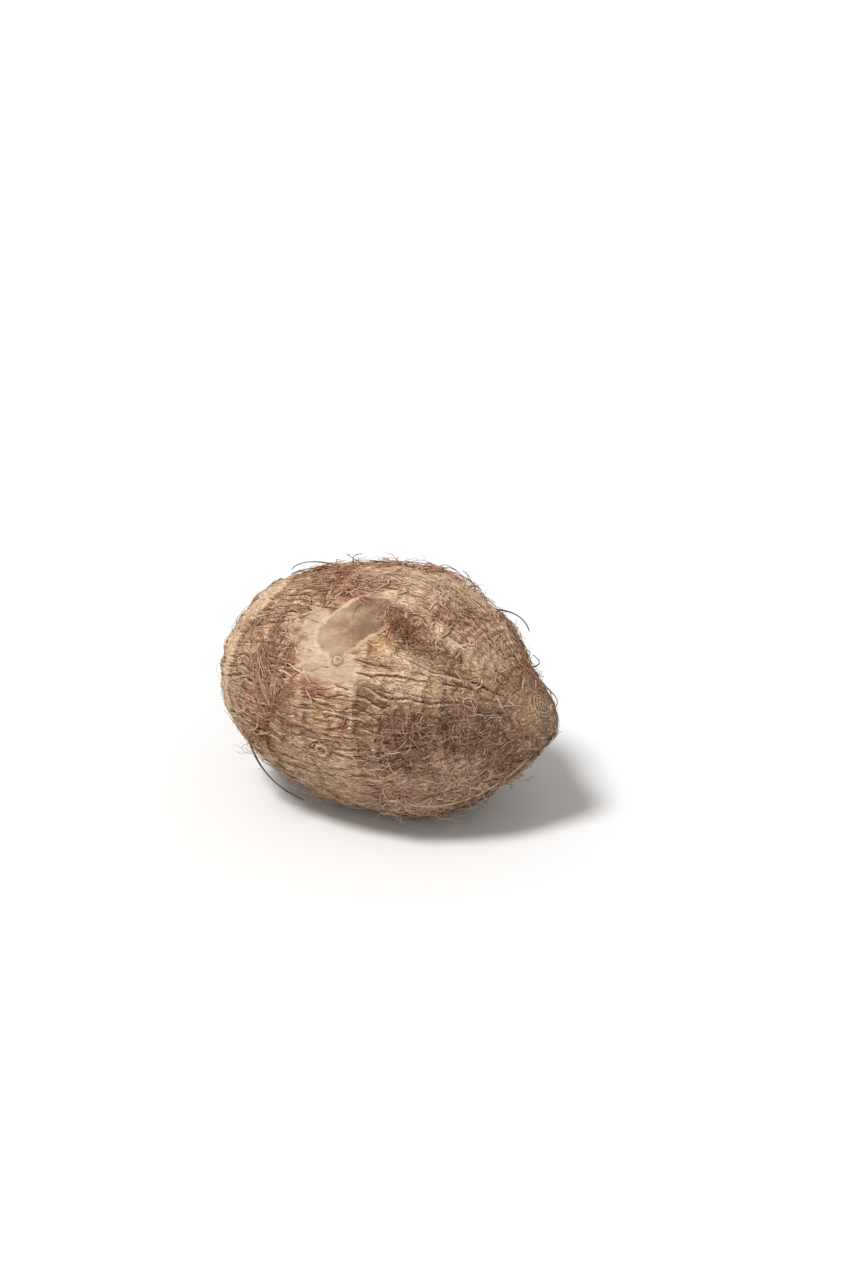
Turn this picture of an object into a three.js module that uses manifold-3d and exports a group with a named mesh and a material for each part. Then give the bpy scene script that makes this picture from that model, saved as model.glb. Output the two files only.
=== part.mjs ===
// A whole taro root (a corm) lying on its side: an egg of rough brown bark with raised leaf-scar rings,
// long fissures that run to the growing tip, a smooth scar where a side shoot broke off, small bud eyes,
// a dry sunken butt, and wiry rootlets that grow from the rings.
// Millimetres and degrees. +X runs from the butt to the tip, +Z is up, and -Y is the side with the scar.
// The origin is on the surface that the root lies on, under the middle of its outline.
import * as THREE from "three";
import { mergeVertices } from "three/addons/utils/BufferGeometryUtils.js";
import Module from "manifold-3d";

// The egg: its smooth form, before any bark
const BUTT_LENGTH = 61.3; // from the widest place back to the butt
const TIP_LENGTH = 56.6; // from the widest place to the tip
const GIRTH_RADIUS = 41.9;
const FLATTEN = 0.963; // height of a cross-section over its width
const BUTT_POWER = 2.02; // 2 is an ellipse, and more is blunter
const TIP_GIRTH_POWER = 1.23; // 1 is a cone
const TIP_LENGTH_POWER = 2.1;
const NOSE_DOWN = 2;
const CENTRE = new THREE.Vector3(1.28, 0.3, 39.3); // the middle of the widest place

// The bark grows round an axis that leans from the egg's own, towards the top of the scar side
const GROWTH_LEAN = 9;
const LEAN_AROUND = 40; // angles around: 0 is the top, 90 the scar side, 180 the underside
const RINGS = [6, 12, 18.5, 25, 32, 40, 48, 56, 65, 75.5, 88, 100, 112, 124, 147]; // degrees from the tip
const RING_RISE = 0.55;
const RING_FOOT = 0.4; // how far the bark drops on the tip's side of a ring
const RING_STEP = 1.5; // degrees from a ring's crest to its foot
const CROWDED = 36; // nearer the tip than this, the rings have no flat between them
const RING_LEAST = 0.65; // how strong a ring is between its waves
const RING_WAVES = [
  { count: 3, size: 0.35, turn: 1.9 },
  { count: 7, size: 0.25, turn: 1 },
];
const RING_VARIETY = 0.3;
const RING_SWAY = 1.4;
const LEDGE_RING = 147; // the one ring that stands out as a ledge
const LEDGE_RISE = 1.2;
const LEDGE_REACH = { toTip: 15, around: 20, wide: 34, long: 14 }; // where it comes nearer to the tip
const FISSURES = 28;
const FISSURE_DEPTH = 1.1;
const FISSURE_HALF_WIDTH = 1.25; // degrees around
const FISSURE_SWAY = 2.4;
const FISSURE_WAVES = [0.085, 0.115]; // how fast they open and close: radians for each degree from the tip
const FISSURE_OPEN = 0.55;
const FISSURE_SWING = 0.9;

// The butt's dry end: a rim round a sunken face with one fold in it
const BUTT_RIM = 153;
const BUTT_RIM_RISE = 1.2;
const BUTT_ROWS = [
  [157.5, -0.9],
  [163, -2.1],
  [170, -1.3],
];
const BUTT_POLE = -2.6;
const TIP_ROW = { from: 2.2, height: 0.6, fissured: 0 };
const TIP_POLE = 1.1;

// The smooth scar, a little sunken, its long way leaning across the rings
const SCAR = { from: 84, around: 37, sink: 0.45 };
const SCAR_OUTLINE = [
  // the way from the middle, in degrees from the tipward way, and how far out
  [7, 8.1], [34, 11], [54, 13], [75, 11.5], [109, 10.3], [139, 8.8], [170, 8.9],
  [201, 12.9], [223, 13.9], [234, 14.1], [254, 13.3], [272, 9.1], [300, 6.9], [325, 6.2],
];
const SCAR_EDGE = [0.92, 1.1]; // from its floor to the bark, in scar radii
const SCAR_RIM = { rise: 0.4, at: 1.15, wide: 0.12 };
const SCAR_CALM = { share: 0.7, from: 1.2, to: 1.75 }; // the bark round it is calmer
const TORN_EDGE_RADIUS = 0.55; // the torn skin that stands up round the scar
const TORN_EDGE_STEPS = 24;
const TORN_WAVES = [
  { count: 5, size: 0.05 },
  { count: 11, size: 0.03 },
];

// Broad swellings and flats: place, spread in degrees, and rise
const SWELLS = [
  { from: 66, around: 350, spread: 24, rise: 1.9 },
  { from: 24, around: 60, spread: 15, rise: -0.9 },
  { from: 105, around: 230, spread: 28, rise: 0.9 },
  { from: 70, around: 265, spread: 24, rise: -1.0 },
  { from: 128, around: 105, spread: 20, rise: 0.9 },
  { from: 62, around: 128, spread: 18, rise: -0.8 },
  { from: 56, around: 318, spread: 12, rise: -2.9 },
  { from: 29, around: 291, spread: 13, rise: -4.2 },
  { from: 11, around: 235, spread: 11, rise: 0.9 },
  { from: 86, around: 150, spread: 14, rise: -1.1 },
  { from: 122, around: 132, spread: 18, rise: 0.7 },
  { from: 154, around: 36, spread: 16, rise: 0.6 },
  { from: 50, around: 174, spread: 22, rise: 0.7 },
];

// Bud eyes: buttons with a dimple, on the rings
const EYES = [
  { from: 92.5, around: 97.5, radius: 2.4 },
  { from: 60, around: 27, radius: 2.1 },
  { from: 87, around: 56, radius: 1.4 },
  { from: 112, around: 285, radius: 2.7 },
  { from: 48, around: 222, radius: 2.2 },
  { from: 76, around: 318, radius: 2.4 },
  { from: 124, around: 345, radius: 2.0 },
  { from: 65, around: 158, radius: 2.2 },
  { from: 18, around: 27, radius: 2.8 },
];
const EYE_PROFILE = [
  // across, in eye radii, and up, in millimetres
  [0, -2],
  [1.15, 0],
  [0.85, 0.65],
  [0.6, 0.25],
  [0.3, 0.75],
  [0, 0.85],
];
const EYE_SIDES = 8;
const TIP_BUD_RADIUS = 4.2;

// Rootlets grow from the rings' feet, spread by the golden angle
const ROOTLETS = 30;
const BARE_RINGS = 2; // the rings nearest to the tip have none
const FIRST_AROUND = 0.13; // in turns
const SCAR_CLEARANCE = 1.6; // in scar radii
const ROOTLET_RADIUS = 0.4;
const ROOTLET_TAPER = 0.6;
const ROOTLET_LENGTH = [9, 18];
const ROOTLET_LIFT = [1.2, 6]; // how far a rootlet stands off the bark at its end
const ROOTLET_BEND = 50; // degrees that its heading turns on the way
const ROOTLET_SUNK = 1.4;
const ROOTLET_RUSH = 2.2; // more leaves the bark sooner
const ROOTLET_PIECES = 4;
const LOWEST_ROOTLET = 12; // where it grows, above the surface that the root lies on
const CLEAR_OF_SURFACE = 1.2;
const GOLDEN = 0.61803398875;
const SPREADS = [0.7548776662, 0.569840291, 0.3247179572]; // for heading, length and lift

// A few longer roots: a stiff one off the underside, two along the top, and one that hugs the bark below
const LONG_ROOTS = [
  { from: 143, around: 112, heading: 135, length: 22, lift: 4.5 },
  { from: 94, around: 344, heading: 20, length: 24, lift: 2.4 },
  { from: 104, around: 353, heading: 5, length: 18, lift: 3.4 },
  { from: 68, around: 136, heading: 154, length: 42, lift: 1, rush: 7 },
];

const DEG = Math.PI / 180;
const share = (x) => x - Math.floor(x);
const between = ([low, high], s) => low + (high - low) * s;
const bell = (distance, spread) => Math.exp(-((distance / spread) ** 2));

// The outward direction at an angle from the growing tip and an angle around the growth axis
function direction(from, around) {
  const out = new THREE.Vector3(
    Math.cos(from * DEG),
    -Math.sin(from * DEG) * Math.sin(around * DEG),
    Math.sin(from * DEG) * Math.cos(around * DEG),
  );
  const hinge = new THREE.Vector3(0, -Math.cos(LEAN_AROUND * DEG), -Math.sin(LEAN_AROUND * DEG));
  return out.applyAxisAngle(hinge, GROWTH_LEAN * DEG);
}

// How far the smooth egg reaches along a direction: |along|^m + across^n = 1, solved by Newton's steps
function eggReach(n) {
  const tipSide = n.x > 0;
  const m = tipSide ? TIP_LENGTH_POWER : BUTT_POWER;
  const k = tipSide ? TIP_GIRTH_POWER : BUTT_POWER;
  const along = Math.abs(n.x) / (tipSide ? TIP_LENGTH : BUTT_LENGTH);
  const across = Math.hypot(n.y, n.z / FLATTEN) / GIRTH_RADIUS;
  let reach = GIRTH_RADIUS;
  for (let step = 0; step < 14; step++) {
    const a = (reach * along) ** m;
    const b = (reach * across) ** k;
    reach -= (a + b - 1) / ((m * a + k * b) / reach);
  }
  return reach;
}

const SWELL_PLACES = SWELLS.map((s) => ({ ...s, toward: direction(s.from, s.around) }));

function swelling(n) {
  let rise = 0;
  for (const s of SWELL_PLACES) rise += s.rise * bell(n.angleTo(s.toward) / DEG, s.spread);
  return rise;
}

// How far out the scar's outline is, a number of degrees from the tipward way
function scarOutline(way) {
  const last = SCAR_OUTLINE[SCAR_OUTLINE.length - 1];
  const turn = ((way % 360) + 360) % 360;
  let [before, near] = [last[0] - 360, last[1]];
  for (const [after, far] of [...SCAR_OUTLINE, [SCAR_OUTLINE[0][0] + 360, SCAR_OUTLINE[0][1]]]) {
    if (turn <= after) return near + ((far - near) * (turn - before)) / (after - before);
    [before, near] = [after, far];
  }
  return near;
}

// Distance from the scar's middle, where 1 is its outline and FAR is the other side of the root
const FAR = 9;
const SCAR_MIDDLE = direction(SCAR.from, SCAR.around);
const SCAR_TIPWARD = direction(SCAR.from - 1, SCAR.around).sub(SCAR_MIDDLE).normalize();
const SCAR_SIDEWAYS = new THREE.Vector3().crossVectors(SCAR_MIDDLE, SCAR_TIPWARD);
function scarDistance(n) {
  if (n.dot(SCAR_MIDDLE) < 0) return FAR;
  const along = GIRTH_RADIUS * n.dot(SCAR_TIPWARD);
  const across = GIRTH_RADIUS * n.dot(SCAR_SIDEWAYS);
  return Math.hypot(along, across) / scarOutline(Math.atan2(across, along) / DEG);
}

// The height of the skin over the smooth egg: bark, calmer near the scar, and the scar's own floor and rim
function skinHeight(n, barkHeight) {
  const d = scarDistance(n);
  const floor = 1 - THREE.MathUtils.smoothstep(d, ...SCAR_EDGE);
  const calm = SCAR_CALM.share * (1 - THREE.MathUtils.smoothstep(d, SCAR_CALM.from, SCAR_CALM.to));
  const rim = SCAR_RIM.rise * bell(d - SCAR_RIM.at, SCAR_RIM.wide);
  return barkHeight * (1 - calm) * (1 - floor) - SCAR.sink * floor + rim + swelling(n);
}

// A point of the skin: the egg along a direction, raised by a height, turned nose down and lifted into place
function skinPoint(n, height) {
  return n
    .clone()
    .multiplyScalar(eggReach(n) + height)
    .applyAxisAngle(new THREE.Vector3(0, 1, 0), NOSE_DOWN * DEG)
    .add(CENTRE);
}

// The rows of the bark from tip to butt: each ring has a foot, a crest and a flat behind it
function barkRows() {
  const rows = [TIP_ROW];
  RINGS.forEach((from, i) => {
    const next = i + 1 < RINGS.length ? RINGS[i + 1] : BUTT_RIM;
    const middle = (from + next) / 2;
    const size = 1 + RING_VARIETY * Math.sin(i * 2.4);
    if (from < CROWDED) {
      rows.push({ from, height: 0.3 * size, fissured: 0.25 });
      rows.push({ from: middle, height: -0.3, fissured: 0.25 });
      return;
    }
    const ledge = from === LEDGE_RING;
    const rise = ledge ? LEDGE_RISE : RING_RISE * size;
    rows.push({ from: from - RING_STEP, height: -RING_FOOT * size, fissured: 0.8, ring: i, ledge });
    rows.push({ from, height: rise, fissured: 0.7, ring: i, ledge });
    rows.push({ from: middle, height: ledge ? LEDGE_RISE / 2 : 0.1, fissured: 1 });
  });
  rows.push({ from: BUTT_RIM, height: BUTT_RIM_RISE, fissured: 0.6 });
  for (const [from, height] of BUTT_ROWS) rows.push({ from, height, fissured: 0.2 });
  return rows;
}

// A ring fades in and out as it goes round, except the ledge
function ringStrength(row, around) {
  if (row.ring === undefined || row.ledge) return 1;
  let strength = RING_LEAST;
  for (const w of RING_WAVES) strength += w.size * Math.sin(w.count * around * DEG + row.ring * w.turn);
  return strength;
}

// How many degrees nearer to the tip the ledge and its neighbours come at an angle around
function ledgeReach(from, around) {
  const aside = ((((around - LEDGE_REACH.around + 180) % 360) + 360) % 360) - 180;
  return LEDGE_REACH.toTip * bell(aside, LEDGE_REACH.wide) * bell(from - LEDGE_RING, LEDGE_REACH.long);
}

// How deep a fissure is at a row, from 0 to 1: each comes and goes along its length
function fissureDepth(fissure, from) {
  const wave = Math.sin(from * between(FISSURE_WAVES, share(fissure * GOLDEN)) + fissure * 2.1);
  return THREE.MathUtils.clamp(FISSURE_OPEN + FISSURE_SWING * wave, 0, 1);
}

// The bark as one closed surface: rows of three columns for each fissure, between poles at the tip and butt
function barkGeometry() {
  const rows = barkRows();
  const points = [];
  const columns = FISSURES * 3;
  for (const row of rows) {
    for (let column = 0; column < columns; column++) {
      const fissure = Math.floor(column / 3);
      const side = (column % 3) - 1; // the fissure itself is 0, with a lip on each side
      const even = (360 * fissure) / FISSURES;
      const sway = FISSURE_SWAY * Math.sin(row.from * 0.11 + fissure * 1.7);
      const around = even + sway + side * FISSURE_HALF_WIDTH;
      const ringSway = RING_SWAY * Math.sin(2 * around * DEG + row.from * 0.05) * Math.sin(row.from * DEG);
      const n = direction(row.from + ringSway - ledgeReach(row.from, around), around);
      const depth = side === 0 ? FISSURE_DEPTH * row.fissured * fissureDepth(fissure, row.from) : 0;
      points.push(skinPoint(n, skinHeight(n, row.height * ringStrength(row, around) - depth)));
    }
  }
  const tip = points.push(skinPoint(direction(0, 0), TIP_POLE)) - 1;
  const butt = points.push(skinPoint(direction(180, 0), BUTT_POLE)) - 1;
  const index = [];
  const at = (r, c) => r * columns + (c % columns);
  for (let c = 0; c < columns; c++) {
    index.push(tip, at(0, c), at(0, c + 1));
    for (let r = 0; r + 1 < rows.length; r++) {
      index.push(at(r, c), at(r + 1, c), at(r + 1, c + 1));
      index.push(at(r, c), at(r + 1, c + 1), at(r, c + 1));
    }
    index.push(butt, at(rows.length - 1, c + 1), at(rows.length - 1, c));
  }
  return new THREE.BufferGeometry().setFromPoints(points).setIndex(index);
}

// The bark's outward normal at a direction, from two near points
function outward(n) {
  const sideways = new THREE.Vector3(0.31, 0.52, 0.79).cross(n).normalize().multiplyScalar(0.02);
  const along = n.clone().cross(sideways);
  const here = skinPoint(n, 0);
  const a = skinPoint(n.clone().add(sideways).normalize(), 0).sub(here);
  const b = skinPoint(n.clone().add(along).normalize(), 0).sub(here);
  const normal = a.cross(b).normalize();
  return normal.dot(here.sub(CENTRE)) < 0 ? normal.negate() : normal;
}

// A bud eye: a low button with a raised rim round a small cone
function eyeGeometry(radius) {
  const profile = EYE_PROFILE.map(([across, up]) => new THREE.Vector2(across * radius, up));
  return new THREE.LatheGeometry(profile, EYE_SIDES).rotateX(Math.PI / 2);
}

function placed(geometry, from, around) {
  const n = direction(from, around);
  const turn = new THREE.Quaternion().setFromUnitVectors(new THREE.Vector3(0, 0, 1), outward(n));
  const point = skinPoint(n, swelling(n));
  return geometry.applyMatrix4(new THREE.Matrix4().compose(point, turn, new THREE.Vector3(1, 1, 1)));
}

// A three-sided rootlet that grows out of the bark and bends along it
function rootletGeometry({ from, around, heading, length, lift, rush = ROOTLET_RUSH }) {
  const points = [];
  for (let i = 0; i <= ROOTLET_PIECES; i++) {
    const s = i / ROOTLET_PIECES;
    const gone = (length * s) / (GIRTH_RADIUS * DEG);
    const turn = heading + ROOTLET_BEND * s * Math.sin(heading);
    const n = direction(
      from + gone * Math.cos(turn * DEG),
      around + (gone * Math.sin(turn * DEG)) / Math.max(0.35, Math.sin(from * DEG)),
    );
    const height = -ROOTLET_SUNK + (lift + ROOTLET_SUNK) * (1 - (1 - s) ** rush);
    const p = skinPoint(n, swelling(n) + height);
    p.z = Math.max(p.z, CLEAR_OF_SURFACE);
    points.push(p);
  }
  const curve = new THREE.CatmullRomCurve3(points);
  const frames = curve.computeFrenetFrames(ROOTLET_PIECES, false);
  const thin = ROOTLET_RADIUS * ROOTLET_TAPER;
  const tube = new THREE.CylinderGeometry(thin, ROOTLET_RADIUS, 1, 3, ROOTLET_PIECES);
  const place = tube.getAttribute("position");
  for (let i = 0; i < place.count; i++) {
    const step = Math.round((place.getY(i) + 0.5) * ROOTLET_PIECES);
    const p = curve
      .getPointAt(step / ROOTLET_PIECES)
      .addScaledVector(frames.binormals[step], place.getX(i))
      .addScaledVector(frames.normals[step], place.getZ(i));
    place.setXYZ(i, p.x, p.y, p.z);
  }
  return tube;
}

// The torn edge: a ragged closed ring of skin on the scar's outline
function tornEdgeGeometry() {
  const points = [];
  for (let i = 0; i < TORN_EDGE_STEPS; i++) {
    const turn = (2 * Math.PI * i) / TORN_EDGE_STEPS;
    const ragged = TORN_WAVES.reduce((sum, w) => sum + w.size * Math.sin(w.count * turn), 1);
    const out = ragged * scarOutline(turn / DEG);
    const n = SCAR_MIDDLE.clone()
      .multiplyScalar(GIRTH_RADIUS)
      .addScaledVector(SCAR_TIPWARD, out * Math.cos(turn))
      .addScaledVector(SCAR_SIDEWAYS, out * Math.sin(turn))
      .normalize();
    points.push(skinPoint(n, swelling(n)));
  }
  const path = new THREE.CatmullRomCurve3(points, true);
  return new THREE.TubeGeometry(path, TORN_EDGE_STEPS, TORN_EDGE_RADIUS, 3, true);
}

function rootletGeometries() {
  const made = LONG_ROOTS.map(rootletGeometry);
  for (let i = 0; made.length < ROOTLETS + LONG_ROOTS.length; i++) {
    const from = RINGS[BARE_RINGS + (i % (RINGS.length - BARE_RINGS))] - RING_STEP;
    const around = 360 * share(i * GOLDEN + FIRST_AROUND);
    const root = direction(from, around);
    if (skinPoint(root, 0).z < LOWEST_ROOTLET || scarDistance(root) < SCAR_CLEARANCE) continue;
    const [turned, longer, lifted] = SPREADS.map((spread) => share(i * spread));
    const length = between(ROOTLET_LENGTH, longer);
    const lift = between(ROOTLET_LIFT, lifted ** 2);
    made.push(rootletGeometry({ from, around, heading: 360 * turned, length, lift }));
  }
  return made;
}

// Joining: every shape is made a solid, and one solid comes back as a geometry
const wasm = await Module();
wasm.setup();

function solid(geometry) {
  const bare = new THREE.BufferGeometry();
  bare.setAttribute("position", geometry.getAttribute("position"));
  bare.setIndex(geometry.getIndex());
  const merged = mergeVertices(bare, 1e-4);
  return new wasm.Manifold(
    new wasm.Mesh({
      numProp: 3,
      vertProperties: merged.getAttribute("position").array,
      triVerts: new Uint32Array(merged.getIndex().array),
    }),
  );
}

function geometryOf(made) {
  const mesh = made.getMesh();
  const geometry = new THREE.BufferGeometry();
  geometry.setAttribute("position", new THREE.BufferAttribute(new Float32Array(mesh.vertProperties), 3));
  geometry.setIndex(new THREE.BufferAttribute(mesh.triVerts, 1));
  return geometry.toNonIndexed();
}

// The surface that the root lies on takes a small flat spot off its underside
function surfaceBelow() {
  return new THREE.BoxGeometry(300, 300, 60).translate(0, 0, -30);
}

let root = solid(barkGeometry());
for (const eye of EYES) root = root.add(solid(placed(eyeGeometry(eye.radius), eye.from, eye.around)));
root = root.add(solid(placed(eyeGeometry(TIP_BUD_RADIUS), 0, 0)));
root = root.add(solid(tornEdgeGeometry()));
for (const rootlet of rootletGeometries()) root = root.add(solid(rootlet));
root = root.subtract(solid(surfaceBelow()));

const bark = new THREE.MeshStandardMaterial({ color: 0xa58a6d, roughness: 0.85, metalness: 0 });
const corm = new THREE.Mesh(geometryOf(root), bark);
corm.geometry.computeVertexNormals();
corm.name = "corm";

const taroRoot = new THREE.Group();
taroRoot.add(corm);
export default taroRoot;
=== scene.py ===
import math

import bpy
import numpy as np
from bpy.props import FloatProperty, FloatVectorProperty, IntProperty, PointerProperty
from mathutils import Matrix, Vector


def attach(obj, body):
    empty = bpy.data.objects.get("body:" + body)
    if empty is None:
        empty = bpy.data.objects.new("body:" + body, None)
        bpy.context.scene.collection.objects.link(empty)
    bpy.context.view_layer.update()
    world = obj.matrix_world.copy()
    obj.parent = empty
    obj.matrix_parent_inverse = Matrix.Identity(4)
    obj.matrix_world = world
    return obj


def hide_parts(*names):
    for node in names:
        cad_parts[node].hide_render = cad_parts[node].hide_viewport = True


bl_info = {
    "name": "Taro root",
    "version": (1, 0, 0),
    "blender": (4, 5, 0),
    "location": "3D View > Sidebar > Taro root",
    "description": "A whole taro root with fissured bark, a shoot scar, bud eyes, rootlets and root hairs",
    "category": "Object",
}

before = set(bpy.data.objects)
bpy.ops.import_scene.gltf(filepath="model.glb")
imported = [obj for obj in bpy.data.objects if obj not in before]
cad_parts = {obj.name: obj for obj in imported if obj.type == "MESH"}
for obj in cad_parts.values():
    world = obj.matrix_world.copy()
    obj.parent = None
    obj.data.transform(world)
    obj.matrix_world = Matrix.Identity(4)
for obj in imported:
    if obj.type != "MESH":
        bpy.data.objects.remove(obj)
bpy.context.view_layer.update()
MM = 0.001
BODY = "root"

# Where things are on the root: degrees from the growing tip, and degrees around the growth axis,
# where 0 is the top, 90 the scar side and 180 the underside. Lengths are in millimetres.
RINGS = [6, 12, 18.5, 25, 32, 40, 48, 56, 65, 75.5, 88, 100, 112, 124, 147]
CROWDED = 36
DEGREE_ALONG = 0.73
LEDGE_RING = 147
LEDGE_MIDDLE = 58
LEDGE_REACH = {"to_tip": 15, "around": 20, "wide": 34, "long": 14}
MID_RING = 75.5
BUTT_RIM = 153
BUTT_PROFILE = [(BUTT_RIM - 4, 0.3), (BUTT_RIM, 1.2), (157.5, -0.9), (163, -2.1), (170, -1.3), (180, -2.6)]
SCAR_AT = (84, 37)
SCAR_SINK = 0.45
LOWEST_SKIN = 0.02
# The scar's outline: degrees from the tipward way, and how far out
SCAR_OUTLINE = [
    (7, 8.1), (34, 11), (54, 13), (75, 11.5), (109, 10.3), (139, 8.8), (170, 8.9),
    (201, 12.9), (223, 13.9), (234, 14.1), (254, 13.3), (272, 9.1), (300, 6.9), (325, 6.2),
]
# Swellings and hollows: where, how wide and how high
SWELLS = [
    ((66, 350), 24, 1.9), ((24, 60), 15, -0.9), ((105, 230), 28, 0.9), ((70, 265), 24, -1.0),
    ((128, 105), 20, 0.9), ((62, 128), 18, -0.8), ((56, 318), 12, -2.9), ((29, 291), 13, -4.2),
    ((11, 235), 11, 0.9), ((86, 150), 14, -1.1), ((122, 132), 18, 0.7), ((154, 36), 16, 0.6),
    ((50, 174), 22, 0.7),
]
# Bud eyes: where, and the ring's radius
EYES = [
    ((92.5, 97.5), 2.4), ((60, 27), 2.1), ((87, 56), 1.4), ((112, 285), 2.7), ((48, 222), 2.2),
    ((76, 318), 2.4), ((124, 345), 2.0), ((65, 158), 2.2),
]
TIP_BUD_RADIUS = 4.2
BUD_AT = (3, 303)
COMB_MIDDLE = 340
SWIRL_AT = (18, 27)
SWIRL_RADIUS = 3.2

# Patches of other bark, by kind: where (degrees from the tip and around), how far it reaches along and
# around, and how it leans
PATCHES = {
    # Several pale patches on the lower side, about 118 to 146 degrees round, are partly painted light: they
    # lighten the shaded underside.
    "pale": [
        (100, 58, 11, 9, 0), (80, 62, 14, 5, -6), (66, 62, 12, 5, -10), (54, 64, 9, 4.5, -12),
        (42, 124, 12, 7, 0), (90, 104, 6, 6, 0), (52, 48, 9, 7, 10), (64, 10, 22, 13, 20),
        (46, 22, 12, 12, 20), (52, 358, 12, 10, 10), (84, 0, 12, 9, 0), (62, 118, 9, 5, 0),
        (52, 138, 10, 6, 0), (84, 124, 12, 5, 0), (66, 146, 14, 6, 0), (104, 118, 9, 5, 0),
        (38, 140, 9, 6, 0), (34, 350, 9, 8, 0), (25, 21, 3.5, 5, 0), (94, 10, 10, 5, 0),
        (78, 3, 12, 7, 0), (60, 4, 12, 9, 10), (56, 17, 10, 7, 20), (56, 128, 14, 7, 0),
        (34, 124, 10, 6, 0), (40, 118, 9, 6, 0), (44, 130, 12, 7, 0), (88, 6, 14, 6, 0),
        (130, 66, 9, 3, 0), (112, 96, 8, 3, 0),
    ],
    "dark": [
        (70, 75, 6.5, 9, 0), (64, 83, 7, 8, 0), (66, 92, 6, 6, 0), (53, 84, 7, 7, 0),
        (52, 104, 5, 6, 0), (46, 38, 4.5, 3, 20), (38, 44, 5, 3.5, 0), (104, 90, 9, 3.5, -10),
        (118, 96, 7, 4, 0), (40, 88, 8, 7, 0), (26, 104, 6, 6, 0), (14, 84, 6, 9, 0),
        (16, 120, 9, 8, 0), (8, 200, 7, 7, 0),
    ],
    "red": [
        (68, 31, 6, 5.5, 20), (58, 36, 5, 4.5, 20), (50, 40, 5, 3, 20), (38.5, 40, 4, 3, 20),
        (60, 24, 4, 3, 0), (97, 71, 5, 3, 0), (118, 64, 11, 10, 0), (108, 12, 16, 8, -30),
        (92, 12, 8, 5, 0), (124, 92, 9, 10, 0), (46, 10, 8, 7, 0), (78, 84, 4, 6, 0),
    ],
    "grey": [
        (35, 71, 4, 2.6, 0), (19, 88, 5, 4, 0), (78, 80, 3, 2, 0), (30, 98, 6, 4, 0),
    ],
    "calm": [
        (104, 46, 7, 10, 0), (97, 58, 9, 5.5, 10), (86, 59, 8, 4.5, -8),
    ],
}
HIDDEN_PATCHES = 26
HIDDEN_SHARES = (0.4, 0.28, 0.24, 0.06, 0.02)

# Long fissures that the scar side shows: points from butt to tip, each a place
LONG_FISSURES = [
    [(103, 65), (93, 65), (84, 67), (78, 68.5)],
    [(87, 63), (78, 60), (69, 60), (61, 58), (54, 57.5), (43, 58)],
    [(118, 84), (105, 87), (96, 88.5), (87, 89.5), (78, 90.5), (66, 91)],
    [(112, 33), (106, 36), (101, 37)],
    [(104, 73), (95, 75), (83, 76)],
    [(92, 80), (80, 81), (69, 82)],
    [(72, 97), (60, 96), (47, 94)],
    [(120, 103), (106, 106), (92, 107), (80, 106)],
    [(100, 116), (88, 117), (72, 116), (60, 114)],
    [(128, 78), (118, 90), (106, 98), (94, 102)],
    [(112, 112), (100, 122), (84, 124), (70, 122)],
    [(126, 108), (112, 118), (98, 127), (84, 130)],
    [(90, 98), (78, 99), (68, 101), (56, 101)],
    [(128, 62), (120, 68), (110, 74)],
]
# No other fissure comes this close to a long one
LONG_ROOM = 2.0

# Bundles of fibres that spread from one place: where, heading (0 is to the butt, 90 goes round), spread,
# length, how many, tone, how far they stand off, and how much they curl
FANS = [
    (116.5, 84, -70, 6, 19, 13, 0.75, 1.6, 25), (116.5, 84, -78, 11, 11, 12, 0.6, 1.4, 30),
    (116.5, 84, -134, 9, 15, 15, 0.6, 1.5, 30), (116.5, 84, 158, 10, 12.5, 9, 0.6, 1.2, 40),
    (116.5, 84, 40, 35, 9, 9, 0.5, 1.2, 60), (126, 50, 100, 20, 13, 12, 0.65, 1.6, 60),
    (131, 38, 70, 25, 10, 12, 0.7, 1.6, 90), (122, 40, 130, 35, 9, 10, 0.6, 1.5, 90),
    (112, 52, 60, 40, 8, 10, 0.55, 1.2, 80), (107, 22, 20, 30, 10, 12, 0.6, 1.8, 90),
    (100, 12, 170, 35, 9, 10, 0.5, 1.8, 110), (90, 24, 190, 20, 9, 8, 0.5, 1.4, 60),
    (74, 26, 150, 50, 8, 22, 0.4, 1.6, 120), (67, 32, 120, 80, 7, 44, 0.35, 2.0, 150),
    (60, 37, 140, 70, 7, 36, 0.35, 1.9, 150), (51, 40, 140, 70, 7, 20, 0.35, 1.7, 150),
    (58, 86, 170, 80, 15, 20, 0.9, 2.8, 170), (50, 79, 150, 80, 13, 20, 0.9, 3.0, 190),
    (62, 100, 100, 60, 15, 16, 0.85, 2.6, 150), (36, 84, 120, 70, 12, 20, 0.8, 2.4, 200),
    (30, 66, 100, 60, 10, 18, 0.8, 2.4, 190), (24, 104, 100, 50, 10, 16, 0.75, 2.2, 160),
    (78, 131, 120, 60, 12, 4, 0.8, 5.0, 90), (70, 140, 110, 60, 12, 4, 0.8, 5.0, 120),
    (61, 148, 120, 70, 11, 5, 0.75, 4.8, 120), (52, 158, 120, 70, 10, 4, 0.75, 4.5, 120),
    (44, 168, 120, 70, 10, 4, 0.7, 4.2, 120), (66, 130, 130, 70, 8, 12, 0.85, 3.2, 150),
    (52, 136, 130, 70, 8, 12, 0.85, 3.2, 150), (34, 146, 110, 60, 8, 10, 0.85, 3.0, 150),
    (128, 96, 60, 50, 11, 6, 0.8, 6.5, 120), (118, 108, 30, 40, 10, 5, 0.7, 5.0, 120),
]
HIDDEN_FANS = 52
FAN_RINGS = RINGS[4:14]
THIN_IF_OFF = 4

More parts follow.
